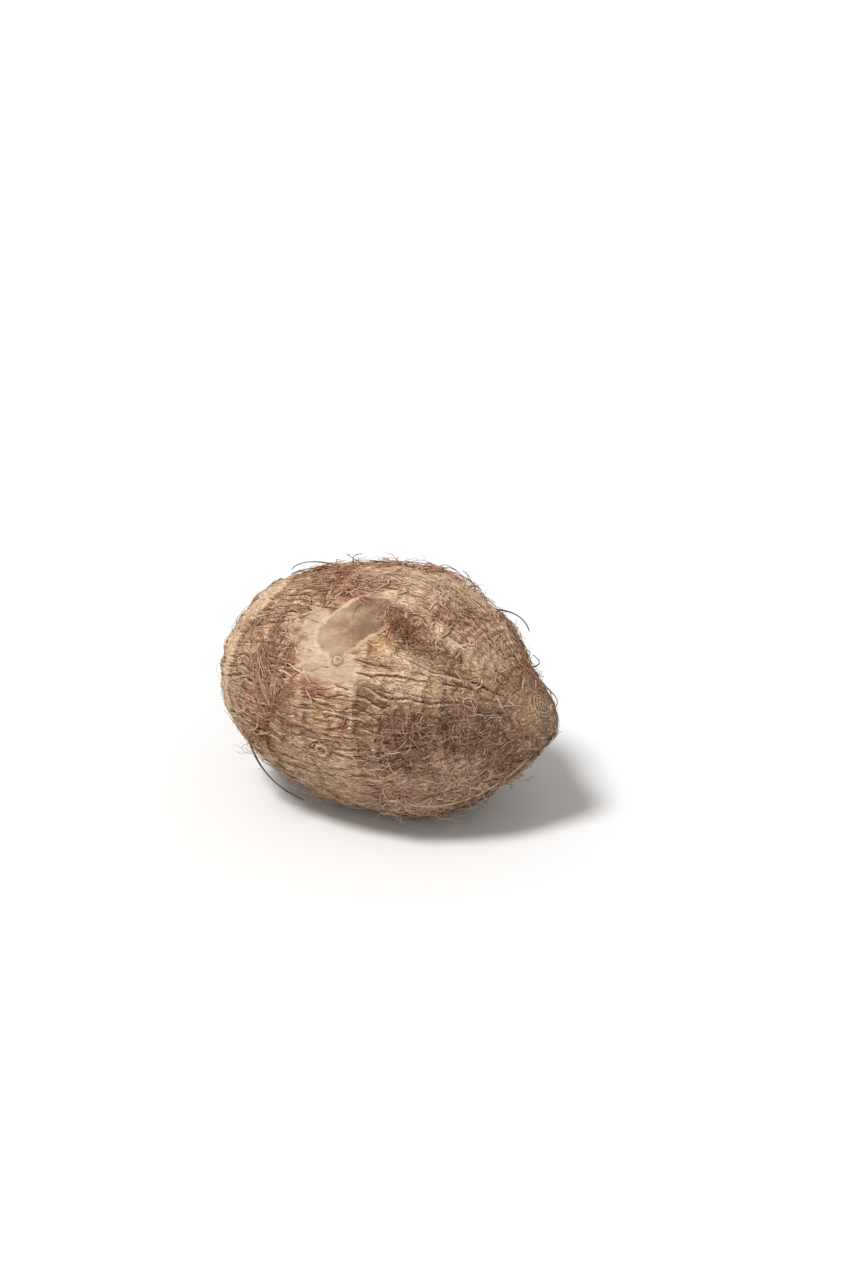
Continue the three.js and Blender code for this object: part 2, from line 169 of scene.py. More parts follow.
# Rootlets, as the solid has them
ROOTLETS = 30
ROOTLET_LENGTH = (9, 18)
ROOTLET_LIFT = (1.2, 6)
ROOTLET_BEND = 50
ROOTLET_SUNK = 1.4
RING_STEP = 1.5
LOWEST_ROOTLET = 12
CLEAR_OF_SURFACE = 0.4
BARE_RINGS = 2
FIRST_AROUND = 0.13
SCAR_CLEARANCE = 1.6
ROOTLET_STEPS = 16
ROOTLET_SIDES = 6
STRAND_SIDES = 3
GOLDEN = 0.61803398875
SPREADS = (0.7548776662, 0.569840291, 0.3247179572)
ROOTLET_RUSH = 2.2
# The longer rootlets: where, heading, length, lift, how soon it lifts, how thick it is and its tone
LONG_ROOTS = [
    ((143, 112), 135, 22, 4.5, ROOTLET_RUSH, 1.0, 0.12),
    ((94, 344), 20, 24, 2.4, ROOTLET_RUSH, 0.38, 0.05),
    ((104, 353), 5, 18, 3.4, ROOTLET_RUSH, 0.38, 0.05),
    ((68, 136), 154, 42, 1, 7, 0.9, 0.95),
]


# The sizes and colours that a user would change


class EggSizes(bpy.types.PropertyGroup):
    butt_length: FloatProperty(
        name="Butt length", description="From the widest place back to the butt",
        default=0.0613, min=0.02, max=0.2, unit="LENGTH")
    tip_length: FloatProperty(
        name="Tip length", description="From the widest place to the growing tip",
        default=0.0566, min=0.02, max=0.2, unit="LENGTH")
    girth_radius: FloatProperty(
        name="Girth radius", description="Half the width at the widest place",
        default=0.0419, min=0.02, max=0.1, unit="LENGTH")
    flatten: FloatProperty(
        name="Flatten", description="Height of a cross-section over its width",
        default=0.963, min=0.7, max=1.2)
    butt_power: FloatProperty(
        name="Butt bluntness", description="2 is an ellipse, and more is blunter", default=2.02)
    tip_girth_power: FloatProperty(
        name="Tip cone", description="1 is a cone, and more is rounder", default=1.23)
    tip_length_power: FloatProperty(
        name="Tip fullness", description="More keeps the girth further along", default=2.1)
    nose_down: FloatProperty(
        name="Nose down", description="How far the tip dips towards the surface",
        default=math.radians(2), subtype="ANGLE")
    growth_lean: FloatProperty(
        name="Growth lean", description="How far the rings lean from the egg's own axis",
        default=math.radians(9), subtype="ANGLE")
    lean_around: FloatProperty(
        name="Lean side", description="Which way round the rings lean",
        default=math.radians(40), subtype="ANGLE")
    centre: FloatVectorProperty(
        name="Centre", description="The middle of the widest place",
        default=(0.00128, 0.0003, 0.0393), subtype="TRANSLATION", unit="LENGTH")


class BarkSizes(bpy.types.PropertyGroup):
    ring_rise: FloatProperty(
        name="Ring rise", description="How far a ring's edge stands up",
        default=0.0005, min=0, max=0.003, unit="LENGTH")
    ledge_rise: FloatProperty(
        name="Ledge rise", description="How far the one strong ring stands up",
        default=0.0012, min=0, max=0.003, unit="LENGTH")
    fissure_depth: FloatProperty(
        name="Fissure depth", description="How deep the widest fissures are",
        default=0.00036, min=0, max=0.003, unit="LENGTH")
    fissure_lanes: IntProperty(
        name="Fissure lanes", description="How many lines of fissures run round the root",
        default=62, min=8, max=128)
    thread_lanes: IntProperty(
        name="Thread lanes", description="How many lines of finer cracks run round the root",
        default=124, min=8, max=200)
    around_steps: IntProperty(
        name="Steps around", description="Columns of faces round the skin", default=500, min=60, max=1000)
    along_steps: IntProperty(
        name="Steps along", description="Rows of faces from tip to butt", default=198, min=30, max=400)


class BarkColours(bpy.types.PropertyGroup):
    brown: FloatVectorProperty(
        name="Bark", description="The bark's middle brown",
        default=(0.555, 0.326, 0.175), subtype="COLOR")
    # The dry-bark tan also paints the bud eyes' pale rings and their highlight.
    tan: FloatVectorProperty(
        name="Dry bark", description="Dry, lighter fibres",
        default=(0.840, 0.565, 0.335), subtype="COLOR")
    # The pale colour also paints a highlight on the fissures' lips, and in some patches on the lower side
    # it lightens the shaded underside.
    pale: FloatVectorProperty(
        name="Pale bark", description="The bare, pale bark near the scar",
        default=(0.830, 0.630, 0.425), subtype="COLOR")
    sand: FloatVectorProperty(
        name="Smooth bark", description="The smooth, sandy bark round the scar",
        default=(0.510, 0.415, 0.300), subtype="COLOR")
    scar: FloatVectorProperty(
        name="Scar", description="The smooth shoot scar",
        default=(0.222, 0.130, 0.078), subtype="COLOR")
    # The dark colour also serves as painted shade at the rings' feet, beside the fissures and in the bud
    # eyes' grooves.
    dark: FloatVectorProperty(
        name="Dark bark", description="Smooth dark panels between rings",
        default=(0.165, 0.088, 0.052), subtype="COLOR")
    red: FloatVectorProperty(
        name="Reddish bark", description="Bark with a rusty tone",
        default=(0.325, 0.110, 0.052), subtype="COLOR")
    grey: FloatVectorProperty(
        name="Grey bloom", description="Grey, weathered places",
        default=(0.150, 0.124, 0.098), subtype="COLOR")
    # Partly painted shade: the fissures' and thin cracks' dark lines stand for their brown bottoms together
    # with the shade inside them.
    fissure: FloatVectorProperty(
        name="Fissure", description="The bottom of a fissure",
        default=(0.142, 0.067, 0.033), subtype="COLOR")
    hair_dark: FloatVectorProperty(
        name="Dark hair", description="The darkest root hairs",
        default=(0.080, 0.042, 0.024), subtype="COLOR")
    hair_light: FloatVectorProperty(
        name="Light hair", description="The lightest root hairs",
        default=(0.640, 0.455, 0.320), subtype="COLOR")
    hair_middle: FloatVectorProperty(
        name="Middle hair", description="Hairs between the darkest and the lightest",
        default=(0.270, 0.160, 0.098), subtype="COLOR")


class HairSizes(bpy.types.PropertyGroup):
    fibres: IntProperty(
        name="Bark fibres", description="Short fibres that lie along the bark", default=4200, min=0)
    hairs: IntProperty(
        name="Root hairs", description="Longer curly hairs", default=520, min=0)
    tangle: IntProperty(
        name="Tangle", description="Curly hairs where they are thickest", default=900, min=0)
    shreds: IntProperty(
        name="Husk shreds", description="Flat shreds that peel off the bark", default=2600, min=0)
    flakes: IntProperty(
        name="Husk flakes", description="Wider flakes that lift off the rusty bark", default=420, min=0)
    fibre_radius: FloatProperty(
        name="Fibre radius", description="Half the thickness of a fibre", default=0.00011, unit="LENGTH")
    rootlet_radius: FloatProperty(
        name="Rootlet radius", description="Half the thickness of a rootlet",
        default=0.00036, unit="LENGTH")


class StageSizes(bpy.types.PropertyGroup):
    azimuth: FloatProperty(
        name="Azimuth", description="The camera's angle round the root, from the scar side",
        default=math.radians(27.2), subtype="ANGLE")
    elevation: FloatProperty(
        name="Elevation", description="The camera's angle above the floor",
        default=math.radians(24.5), subtype="ANGLE")
    distance: FloatProperty(
        name="Distance", description="From the camera to the root's middle", default=0.722, unit="LENGTH")
    lens: FloatProperty(
        name="Lens", description="Focal length", default=61.9, unit="CAMERA")
    aside: FloatProperty(
        name="Aside", description="How far right of the root the camera aims",
        default=0.0098, unit="LENGTH")
    above: FloatProperty(
        name="Above", description="How far above the root the camera aims", default=0.0159, unit="LENGTH")
    floor: FloatVectorProperty(
        name="Floor", description="The plain pale floor", default=(0.715, 0.715, 0.712), subtype="COLOR")
    sun_place: FloatVectorProperty(
        name="Key place", description="Where the soft key light shines from",
        default=(-0.2, -0.48, 0.95), subtype="TRANSLATION", unit="LENGTH")
    sun_strength: FloatProperty(
        name="Key strength", description="How bright the key light is", default=3.15)
    sun_softness: FloatProperty(
        name="Key softness", description="How wide the key light is",
        default=math.radians(16), subtype="ANGLE")
    sky_strength: FloatProperty(name="Sky strength", description="How bright the room is", default=0.54)
    fill_place: FloatVectorProperty(
        name="Fill place", description="Where the weak fill light shines from",
        default=(0.75, -0.8, 0.2), subtype="TRANSLATION", unit="LENGTH")
    fill_strength: FloatProperty(
        name="Fill strength", description="How bright the fill light is", default=0.6)
    fill_softness: FloatProperty(
        name="Fill softness", description="How wide the fill light is",
        default=math.radians(70), subtype="ANGLE")


# Smooth steps, bells and noise, on arrays


def rise(x, low, high):
    """0 below low, 1 above high, and smooth between them."""
    t = np.clip((x - low) / (high - low), 0, 1)
    return t * t * (3 - 2 * t)


def bell(x, spread):
    return np.exp(-((x / spread) ** 2))


def scatter(*cells):
    """A number from -1 to 1 for each cell of whole numbers, the same on every run."""
    mixed = np.zeros(np.shape(cells[0]), np.int64)
    for cell, prime in zip(cells, (73856093, 19349663, 83492791, 39916801)):
        mixed = mixed ^ (np.asarray(cell).astype(np.int64) * prime)
    mixed = ((mixed ^ (mixed >> 13)) * 1274126177) & 0x7FFFFFFF
    mixed = ((mixed ^ (mixed >> 15)) * 668265263) & 0x7FFFFFFF
    return ((mixed >> 8) & 0xFFFF) / 32767.5 - 1


def noise(points, size, seed=0):
    """Smooth noise from -1 to 1 at points, with features of about that size along each axis."""
    p = points / np.asarray(size, float)
    cell = np.floor(p)
    part = p - cell
    part = part * part * (3 - 2 * part)
    total = np.zeros(len(p))
    for corner in range(8):
        step = np.array([corner & 1, corner >> 1 & 1, corner >> 2])
        weight = np.prod(np.where(step, part, 1 - part), axis=1)
        total += weight * scatter(*(cell + step).T, np.full(len(p), seed))
    return total


def layered(points, size, seed=0, layers=3):
    total = np.zeros(len(points))
    for layer in range(layers):
        total += noise(points, np.asarray(size, float) / 2**layer, seed + layer) / 2**layer
    return total / (2 - 2.0 ** (1 - layers))


def aside_of(around, middle):
    """Degrees around, counted from a middle: -180 to 180."""
    return np.mod(np.asarray(around) - middle + 180, 360) - 180


def unit(v):
    return v / np.linalg.norm(v, axis=-1, keepdims=True)


def turned(v, axis, angle):
    """v turned about an axis by an angle in radians."""
    axis = np.asarray(axis, float)
    across = np.cross(axis, v)
    along = (v @ axis)[..., None] * axis
    return v * math.cos(angle) + across * math.sin(angle) + along * (1 - math.cos(angle))


# The root's smooth form and its relief


class Root:
    """The egg and its bark, in millimetres, from the sizes in the sidebar."""

    def __init__(self, egg, bark):
        self.egg = egg
        self.bark = bark
        self.butt = egg.butt_length / MM
        self.tip = egg.tip_length / MM
        self.girth = egg.girth_radius / MM
        self.centre = np.array(egg.centre) / MM
        self.eye_places = [(self.direction(*at), radius) for at, radius in EYES]

    def direction(self, tipped, around):
        """The outward direction at degrees from the growing tip and degrees around the growth axis."""
        t = np.radians(tipped)
        a = np.radians(around)
        n = np.stack([np.cos(t), -np.sin(t) * np.sin(a), np.sin(t) * np.cos(a)], -1)
        hinge = (0, -math.cos(self.egg.lean_around), -math.sin(self.egg.lean_around))
        return turned(n, hinge, self.egg.growth_lean)

    def reach(self, n):
        """How far the smooth egg reaches along each direction, by Newton's steps."""
        egg = self.egg
        tipside = n[..., 0] > 0
        m = np.where(tipside, egg.tip_length_power, egg.butt_power)
        k = np.where(tipside, egg.tip_girth_power, egg.butt_power)
        along = np.abs(n[..., 0]) / np.where(tipside, self.tip, self.butt)
        across = np.hypot(n[..., 1], n[..., 2] / egg.flatten) / self.girth
        reach = np.full(n.shape[:-1], self.girth)
        for _ in range(14):
            a = (reach * along) ** m
            b = (reach * across) ** k
            reach = reach - (a + b - 1) / ((m * a + k * b) / reach)
        return reach

    def place(self, n, height):
        """Points of the skin along directions, raised by a height."""
        raised = n * (self.reach(n) + height)[..., None]
        return turned(raised, (0, 1, 0), self.egg.nose_down) + self.centre

    def swelling(self, n):
        total = np.zeros(n.shape[:-1])
        for at, spread, height in SWELLS:
            apart = np.degrees(np.arccos(np.clip(n @ self.direction(*at), -1, 1)))
            total += height * bell(apart, spread)
        return total

    def around_a_place(self, n, at, lean=0):
        """Millimetres from a place, along and across a line that leans from the tipward way."""
        middle = self.direction(*at)
        tipward = unit(self.direction(at[0] - 1, at[1]) - middle)
        sideways = np.cross(middle, tipward)
        far = np.where(n @ middle < 0, 1e3, 0)
        size = self.reach(middle[None])[0]
        along = size * (n @ tipward) + far
        across = size * (n @ sideways) + far
        c = math.cos(math.radians(lean))
        s = math.sin(math.radians(lean))
        return along * c + across * s, across * c - along * s

    def scar_distance(self, n):
        """1 is the scar's outline."""
        along, across = self.around_a_place(n, SCAR_AT)
        angle, out = zip(*SCAR_OUTLINE)
        outline = np.interp(np.degrees(np.arctan2(across, along)), angle, out, period=360)
        return np.hypot(along, across) / outline

    def laid_out(self, tipped, around):
        """The bark laid out: along is millimetres from the tip, and the rest goes round with the girth."""
        girth = self.girth * np.sin(np.radians(tipped)) ** 0.9
        a = np.radians(around)
        return np.stack([tipped * DEGREE_ALONG, girth * np.cos(a), girth * np.sin(a)], -1)

    def unswayed(self, tipped, around):
        """The angle from the tip that a row of bark has where the ledge doesn't draw it towards the tip."""
        aside = aside_of(around, LEDGE_REACH["around"])
        reach = LEDGE_REACH["to_tip"] * bell(aside, LEDGE_REACH["wide"])
        row = np.asarray(tipped, float)
        for _ in range(12):
            row = tipped + reach * bell(row - LEDGE_RING, LEDGE_REACH["long"])
        return row

    def fissures(self, laid, around, lanes, length, seed, density):
        """Broken fissures in lanes that run from butt to tip: how far aside of one, and how open it is."""
        girth = np.hypot(laid[:, 1], laid[:, 2]) + 0.5
        spacing = 2 * np.pi * girth / lanes
        sway = 2.2 * noise(laid, (11, 14, 14), seed) + 0.7 * noise(laid, (3.2, 7, 7), seed + 1)
        phase = around / 360 * lanes + sway * np.minimum(1, spacing / 4) / spacing
        lane = np.floor(phase)
        own = np.mod(lane, lanes)
        part = phase - lane - 0.5
        aside = (part - 0.2 * scatter(own, own * 0 + seed)) * spacing
        order = np.where(own % 2 == 1, 1, np.where(own % 4 == 2, 2, 4))
        alive = rise(spacing * order, 1.8, 2.6)
        line = np.stack([laid[:, 0], own * 5.0, own * 0 + seed * 3.0], -1)
        opening = noise(line, (length, 1, 1), seed + 2) + 0.25 * noise(line, (length / 3, 1, 1), seed + 3)
        opening = rise(opening + density, 0.0, 0.75) * alive * rise(0.5 - np.abs(part), 0, 0.14)
        return aside, opening

    def long_fissures(self, n, laid):
        """How far aside of the nearest long fissure each place is, and how open that fissure is there."""
        aside = np.full(len(n), 99.0)
        opening = np.zeros(len(n))
        p = n * self.girth
        for places in LONG_FISSURES:
            corners = np.array([self.direction(*place) for place in places]) * self.girth
            for i, (start, end) in enumerate(zip(corners, corners[1:])):
                way = end - start
                s = np.clip(((p - start) @ way) / (way @ way), 0, 1)
                gap = p - start - s[:, None] * way
                sideways = unit(np.cross(start, way))
                apart = np.linalg.norm(gap, axis=1)
                nearer = apart < np.abs(aside)
                side = np.where(gap @ sideways < 0, -1, 1)
                aside = np.where(nearer, apart * side, aside)
                along = (i + s) / (len(corners) - 1)
                opening = np.where(nearer, rise(along, 0, 0.15) * rise(1 - along, 0, 0.15), opening)
        warp = 0.55 * noise(laid, (3.4, 3.4, 3.4), 71) + 0.3 * noise(laid, (1.5, 1.5, 1.5), 72)
        opening = opening * rise(noise(laid, (5, 3, 3), 31), -0.8, 0.0) * 0.8
        return aside + warp, opening

    def all_fissures(self, n, laid, around, density):
        """The lanes' fissures, with the long ones in their place where they run."""
        aside, opening = self.fissures(laid, around, self.bark.fissure_lanes, 32, 1, density)
        long_aside, long_opening = self.long_fissures(n, laid)
        gap = np.abs(long_aside) - LONG_ROOM
        opening = np.where(gap < 0, long_opening * rise(-gap, 0, 0.5), opening * rise(gap, 0, 0.6))
        return np.where(gap < 0, long_aside, aside), opening

    def rings(self, tipped, around, laid):
        """The rings' relief, their crests, the painted shade in the dips at their feet, and the ledge
        alone.
        """
        relief = np.zeros(len(tipped))
        crests = np.zeros(len(tipped))
        foot_shades = np.zeros(len(tipped))
        a = np.radians(around)
        ragged = 0.8 * noise(laid, (40, 1.4, 1.4), 41) + 0.9 * noise(laid, (40, 5, 5), 42)
        sway = 1.4 * np.sin(2 * a + np.radians(tipped * 2.9)) * np.sin(np.radians(tipped))
        row = self.unswayed(tipped, around)
        ledge_line = np.zeros(len(tipped))
        for i, ring in enumerate(RINGS):
            ledge = ring == LEDGE_RING
            x = (row - ring - sway) * DEGREE_ALONG + ragged * (0.3 if ledge else 1)
            if ledge:
                wide = 4.2 + 1.8 * noise(laid, (40, 9, 9), 43)
                ledge_line = rise(x, -0.7, 0.1) * rise(wide - x, 0, 1.6)
                ledge_line *= rise(-np.abs(aside_of(around, LEDGE_MIDDLE)), -74, -40)
            strength = 0.65 + 0.35 * np.sin(3 * a + i * 1.9) + 0.25 * np.sin(7 * a + i)
            strength = np.ones(len(a)) if ledge else np.clip(strength, 0, 1.3)
            size = (0.5 if ring < CROWDED else 1) * (1 + 0.3 * math.sin(i * 2.4))
            top = self.bark.ledge_rise / MM if ledge else size * self.bark.ring_rise / MM
            crest = rise(x, -0.5, 0.2) * np.exp(-np.clip(x, 0, None) / 2.6)
            # The dip at each ring's foot; the same bell marks where the foot is painted darker as shade.
            foot = bell(x + 0.9, 0.75)
            relief += strength * (top * crest - 0.75 * size * self.bark.ring_rise / MM * foot)
            crests = np.maximum(crests, strength * rise(x, -0.4, 0.1) * np.exp(-np.clip(x, 0, None) / 1.4))
            foot_shades = np.maximum(foot_shades, strength * foot)
        return relief, crests, foot_shades, ledge_line

    def patches(self, n, laid):
        """How strongly each kind of bark shows, from 0 to 1."""
        warp = 0.5 * noise(laid, (5, 3, 3), 51) + 0.35 * noise(laid, (2.4, 1.2, 1.2), 52)
        kinds = tuple(PATCHES)
        masks = {kind: np.zeros(len(n)) for kind in kinds}
        patches = [(kind, *patch) for kind in kinds for patch in PATCHES[kind]]
        draw = np.random.default_rng(7)
        for _ in range(HIDDEN_PATCHES):
            at = (draw.uniform(25, 140), draw.uniform(120, 370))
            kind = kinds[draw.choice(len(kinds), p=HIDDEN_SHARES)]
            patches.append((kind, *at, draw.uniform(6, 17), draw.uniform(4, 9), draw.uniform(-25, 25)))
        for kind, tipped, around, long, wide, lean in patches:
            along, across = self.around_a_place(n, (tipped, around), lean)
            edge = 0.12 if kind in ("dark", "grey") else 0.35
            inside = rise(-np.hypot(along / long, across / wide) + warp, -1 - edge, -1 + edge)
            masks[kind] = np.maximum(masks[kind], inside)
        return masks

    def hairiness(self, n, tipped, around):
        """Hair is thick towards the tip, underneath and behind, and thin on the pale bark by the scar."""
        low = 0.5 - 0.5 * np.cos(np.radians(around))
        tipward = rise(-tipped, -80, -45)
        beside = bell(np.degrees(np.arccos(np.clip(n @ self.direction(88, 52), -1, 1))), 24)
        bare = self.around_a_place(n, (62, 62), -10)
        beside = np.maximum(beside, bell(np.hypot(bare[0] / 2.4, bare[1]), 8))
        above = bell(np.degrees(np.arccos(np.clip(n @ self.direction(42, 5), -1, 1))), 30)
        return np.clip(0.3 + 0.45 * tipward + 0.25 * low - 0.55 * beside - 0.62 * above, 0.02, 1)

    def eyes(self, n):
        """The bud eyes' relief, their pale raised rings and middles, partly painted highlight, and the
        painted shade in the dip inside each ring and the groove round it.
        """
        relief = np.zeros(len(n))
        light = np.zeros(len(n))
        dark = np.zeros(len(n))
        inside = np.zeros(len(n))
        for middle, radius in self.eye_places:
            size = self.reach(middle[None])[0]
            d = np.linalg.norm(n - middle, axis=1) * size / radius
            relief += 0.75 * bell(d - 0.78, 0.25) - 0.5 * bell(d - 0.4, 0.2) + 0.3 * bell(d, 0.25)
            relief -= 0.3 * bell(d - 1.4, 0.25)
            # Pale on the raised ring and the middle knob: partly the bud's pale tone, partly painted
            # highlight. Dark in the dip inside the ring and the groove round it: painted shade.
            light = np.maximum(light, np.maximum(bell(d - 0.72, 0.2), 0.8 * bell(d, 0.16)))
            dark = np.maximum(dark, np.maximum(bell(d - 0.35, 0.15), bell(d - 1.2, 0.22)))
            inside = np.maximum(inside, rise(-d, -1.6, -1.2))
        return relief, light, dark, inside

    def tip_bud(self, n, tipped):
        """The relief of the growing tip's knob and the swirl beside it, and millimetres from the swirl."""
        away = tipped * DEGREE_ALONG
        along, across = self.around_a_place(n, SWIRL_AT)
        from_swirl = np.hypot(along, across)
        knob = 0.7 * rise(-away, -TIP_BUD_RADIUS, -1.8) - 0.3 * bell(away - TIP_BUD_RADIUS - 0.8, 0.9)
        knob += 0.5 * bell(from_swirl, SWIRL_RADIUS) - 0.3 * bell(from_swirl - SWIRL_RADIUS, 0.9)
        return knob, from_swirl

    def butt_end(self, tipped, around, laid):
        """The dry sunken butt inside its rim, and how much of it shows."""
        at, height = zip(*BUTT_PROFILE)
        sway = 1.2 * noise(laid, (40, 4, 4), 91)
        row = self.unswayed(tipped, around)
        shown = rise(row - BUTT_RIM, -4, -1)
        folds = np.sin(np.radians(around) * 23 + 3 * noise(laid, (6, 6, 6), 92))
        return (np.interp(row + sway, at, height) + 0.35 * folds) * shown, shown

    def form(self, tipped, around):
        """The broad form that strands lie on: swellings, lumps, the scar and the butt."""
        n = self.direction(tipped, around)
        laid = self.laid_out(tipped, around)
        lumps = layered(laid, (14, 9, 9), 82, 3)
        butt, _ = self.butt_end(tipped, around, laid)
        floor = rise(-self.scar_distance(n), -1.05, -0.93)
        height = self.swelling(n) + 0.35 * lumps * (1 - floor) + butt - SCAR_SINK * floor
        return n, height

    def skin(self, tipped, around):
        """The skin's height over the egg, and the masks of its finishes, at each place."""
        n = self.direction(tipped, around)
        laid = self.laid_out(tipped, around)
        ring_relief, crests, foot_shades, ledge_line = self.rings(tipped, around, laid)
        masks = self.patches(n, laid)
        d = self.scar_distance(n)
        ragged = 0.07 * noise(laid, (1.5, 1.5, 1.5), 61) + 0.06 * noise(laid, (4, 4, 4), 62)
        floor = rise(-(d + ragged), -1.03, -0.95)
        calm = np.maximum(masks["calm"], rise(-d, -1.22, -1.05))
        eye_relief, eye_light, eye_dark, in_eye = self.eyes(n)
        bud_relief, from_swirl = self.tip_bud(n, tipped)
        density = 0.3 - 0.8 * calm - 0.4 * masks["pale"] + 0.1 * masks["red"]
        near_tip = rise(tipped, 8, 22)
        keep = near_tip * (1 - floor) * (1 - in_eye) * (1 - 0.9 * ledge_line)
        aside, opening = self.all_fissures(n, laid, around, density)
        opening = opening * keep * (1 - calm)
        thread_aside, threads = self.fissures(laid, around, self.bark.thread_lanes, 6, 9, density + 0.15)
        threads = threads * keep * (1 - calm)
        half = 0.22 + 0.28 * opening
        groove = opening * np.clip(1 - np.abs(aside) / half, 0, 1) ** 0.8
        lips = opening * bell(np.abs(aside) - half - 0.5, 0.5) * (1 + 0.6 * np.sign(aside))
        thin = threads * np.clip(1 - np.abs(thread_aside) / 0.5, 0, 1)
        streaks = layered(laid, (9, 1.1, 1.1), 81, 2)
        lumps = layered(laid, (14, 9, 9), 82, 3)
        size = self.bark.fissure_depth / MM
        bark = ring_relief - size * groove - 0.3 * size * thin + 0.3 * lips
        bark += 0.16 * streaks * near_tip + 0.35 * lumps
        butt, at_butt = self.butt_end(tipped, around, laid)
        bark = bark * (1 - 0.75 * calm) * (1 - floor) * (1 - 0.6 * at_butt) * (0.35 + 0.65 * near_tip)
        buttward = rise(-self.around_a_place(n, SCAR_AT)[0], -1, 4)
        torn = bell(d + ragged - 1.07, 0.05) * (0.15 + 0.85 * buttward)
        torn = torn * (0.75 + 0.5 * noise(laid, (1.8, 1.8, 1.8), 63))
        pits = 0.1 * layered(laid, (2.2, 2.2, 2.2), 64, 2)
        height = bark + self.swelling(n) + butt + eye_relief + bud_relief
        height += 0.5 * torn - (SCAR_SINK - pits) * floor - 0.3 * (1 - floor)
        band = bell((tipped - MID_RING - 1.3) * DEGREE_ALONG + 0.5 * noise(laid, (40, 2, 2), 96), 1.1)
        band = rise(band, 0.3, 0.7) * bell(around - 84, 28) * (0.75 + 0.5 * noise(laid, (40, 2, 2), 98))
        band = np.maximum(band, ledge_line)
        comb = bell(aside_of(around, COMB_MIDDLE), 60) * rise(tipped, 17, 23) * rise(-tipped, -52, -40)
        comb = comb * np.sin(tipped * 1.9 + 1.5 * noise(laid, (6, 4, 4), 97))
        from_bud = np.linalg.norm(n - self.direction(*BUD_AT), axis=1) * self.tip
        masks.update(
            aside=aside, opening=opening, thread_aside=thread_aside, threads=threads, scar=floor, calm=calm,
            torn=np.clip(torn, 0, 1), band=band, comb=comb, crest=np.clip(crests, 0, 1),
            foot=np.clip(foot_shades * keep, 0, 1), eye_light=eye_light, eye_dark=eye_dark, away=from_bud,
            bud=rise(-from_bud, -4.8, -3.4), from_swirl=np.minimum(from_swirl, 30),
            swirl=rise(-from_swirl, -3.6, -2.2), hairy=self.hairiness(n, tipped, around))
        return n, laid, height, masks

    def path(self, at, heading, length, lift, rush, steps):
        """Points of a strand that grows out of the bark and bends along it."""
        s = np.linspace(0, 1, steps)
        gone = length * s / (self.girth * math.radians(1))
        turn = np.radians(heading + ROOTLET_BEND * s * math.sin(heading))
        tipped = at[0] + gone * np.cos(turn)
        around = at[1] + gone * np.sin(turn) / max(0.35, math.sin(math.radians(at[0])))
        n = self.direction(tipped, around)
        height = -ROOTLET_SUNK + (lift + ROOTLET_SUNK) * (1 - (1 - s) ** rush)
        points = self.place(n, self.swelling(n) + height)
        points[:, 2] = np.maximum(points[:, 2], CLEAR_OF_SURFACE)
        return points, n

    def grow(self, draw, start, heading, length, lift, curl, steps):
        """Paths of many strands that wander over the bark, and the bark's outward directions there."""
        count = len(start)
        s = np.linspace(0, 1, steps)
        turns = np.cumsum(draw.normal(0, 1, (count, steps)), axis=1) / math.sqrt(steps)
        way = np.radians(heading[:, None] + curl[:, None] * turns)
        step = length[:, None] / (steps - 1) / (self.girth * math.radians(1))
        tipped = start[:, :1] + np.cumsum(step * np.cos(way), axis=1) - step * np.cos(way[:, :1])
        tipped = np.clip(tipped, 1.5, 178)
        girth = np.maximum(0.25, np.sin(np.radians(tipped)))
        around = start[:, 1:] + np.cumsum(step * np.sin(way) / girth, axis=1)
        n, base = self.form(tipped.ravel(), around.ravel())
        waves = np.cumsum(draw.normal(0, 1, (count, steps)), axis=1) / math.sqrt(steps)
        height = -0.25 + lift[:, :1] * np.sin(np.pi * s) ** 0.7 + lift[:, 1:] * s**2.5
        height = height + np.abs(waves) * lift[:, :1] * 0.8
        points = self.place(n, base + height.ravel())
        points[:, 2] = np.maximum(points[:, 2], CLEAR_OF_SURFACE)
        shape = (count, steps, 3)
        return points.reshape(shape), n.reshape(shape)

    def scattered(self, draw, count, focus, kind=None):
        """Places spread as the root's hair is, the more so the higher focus is, or on one kind of bark."""
        tipped = np.degrees(np.arccos(draw.uniform(-0.97, 0.99, count * 6)))
        around = draw.uniform(0, 360, count * 6)
        n = self.direction(tipped, around)
        off_scar = 1 - rise(-self.scar_distance(n), -1.35, -1.15)
        off_bud = rise(tipped, 5, 8) * (1 - rise(-np.hypot(*self.around_a_place(n, SWIRL_AT)), -4, -2))
        likely = self.hairiness(n, tipped, around) ** focus * off_scar * off_bud
        if kind:
            likely = likely * (0.02 + self.patches(n, self.laid_out(tipped, around))[kind])
        chosen = np.flatnonzero(draw.uniform(0, 1, count * 6) < likely)[:count]
        return np.stack([tipped[chosen], around[chosen]], 1)


# Meshes


def new_piece(name, points, faces):
    """A mesh from points in millimetres and an array of faces that all have as many corners."""
    mesh = bpy.data.meshes.new(name)
    mesh.vertices.add(len(points))
    mesh.vertices.foreach_set("co", (points * MM).astype(np.float32).ravel())
    corners = faces.shape[1]
    mesh.loops.add(faces.size)
    mesh.loops.foreach_set("vertex_index", faces.astype(np.int32).ravel())
    mesh.polygons.add(len(faces))
    mesh.polygons.foreach_set("loop_start", np.arange(0, faces.size, corners, dtype=np.int32))
    mesh.update(calc_edges=True)
    piece = bpy.data.objects.new(name, mesh)
    bpy.context.scene.collection.objects.link(piece)
    return piece


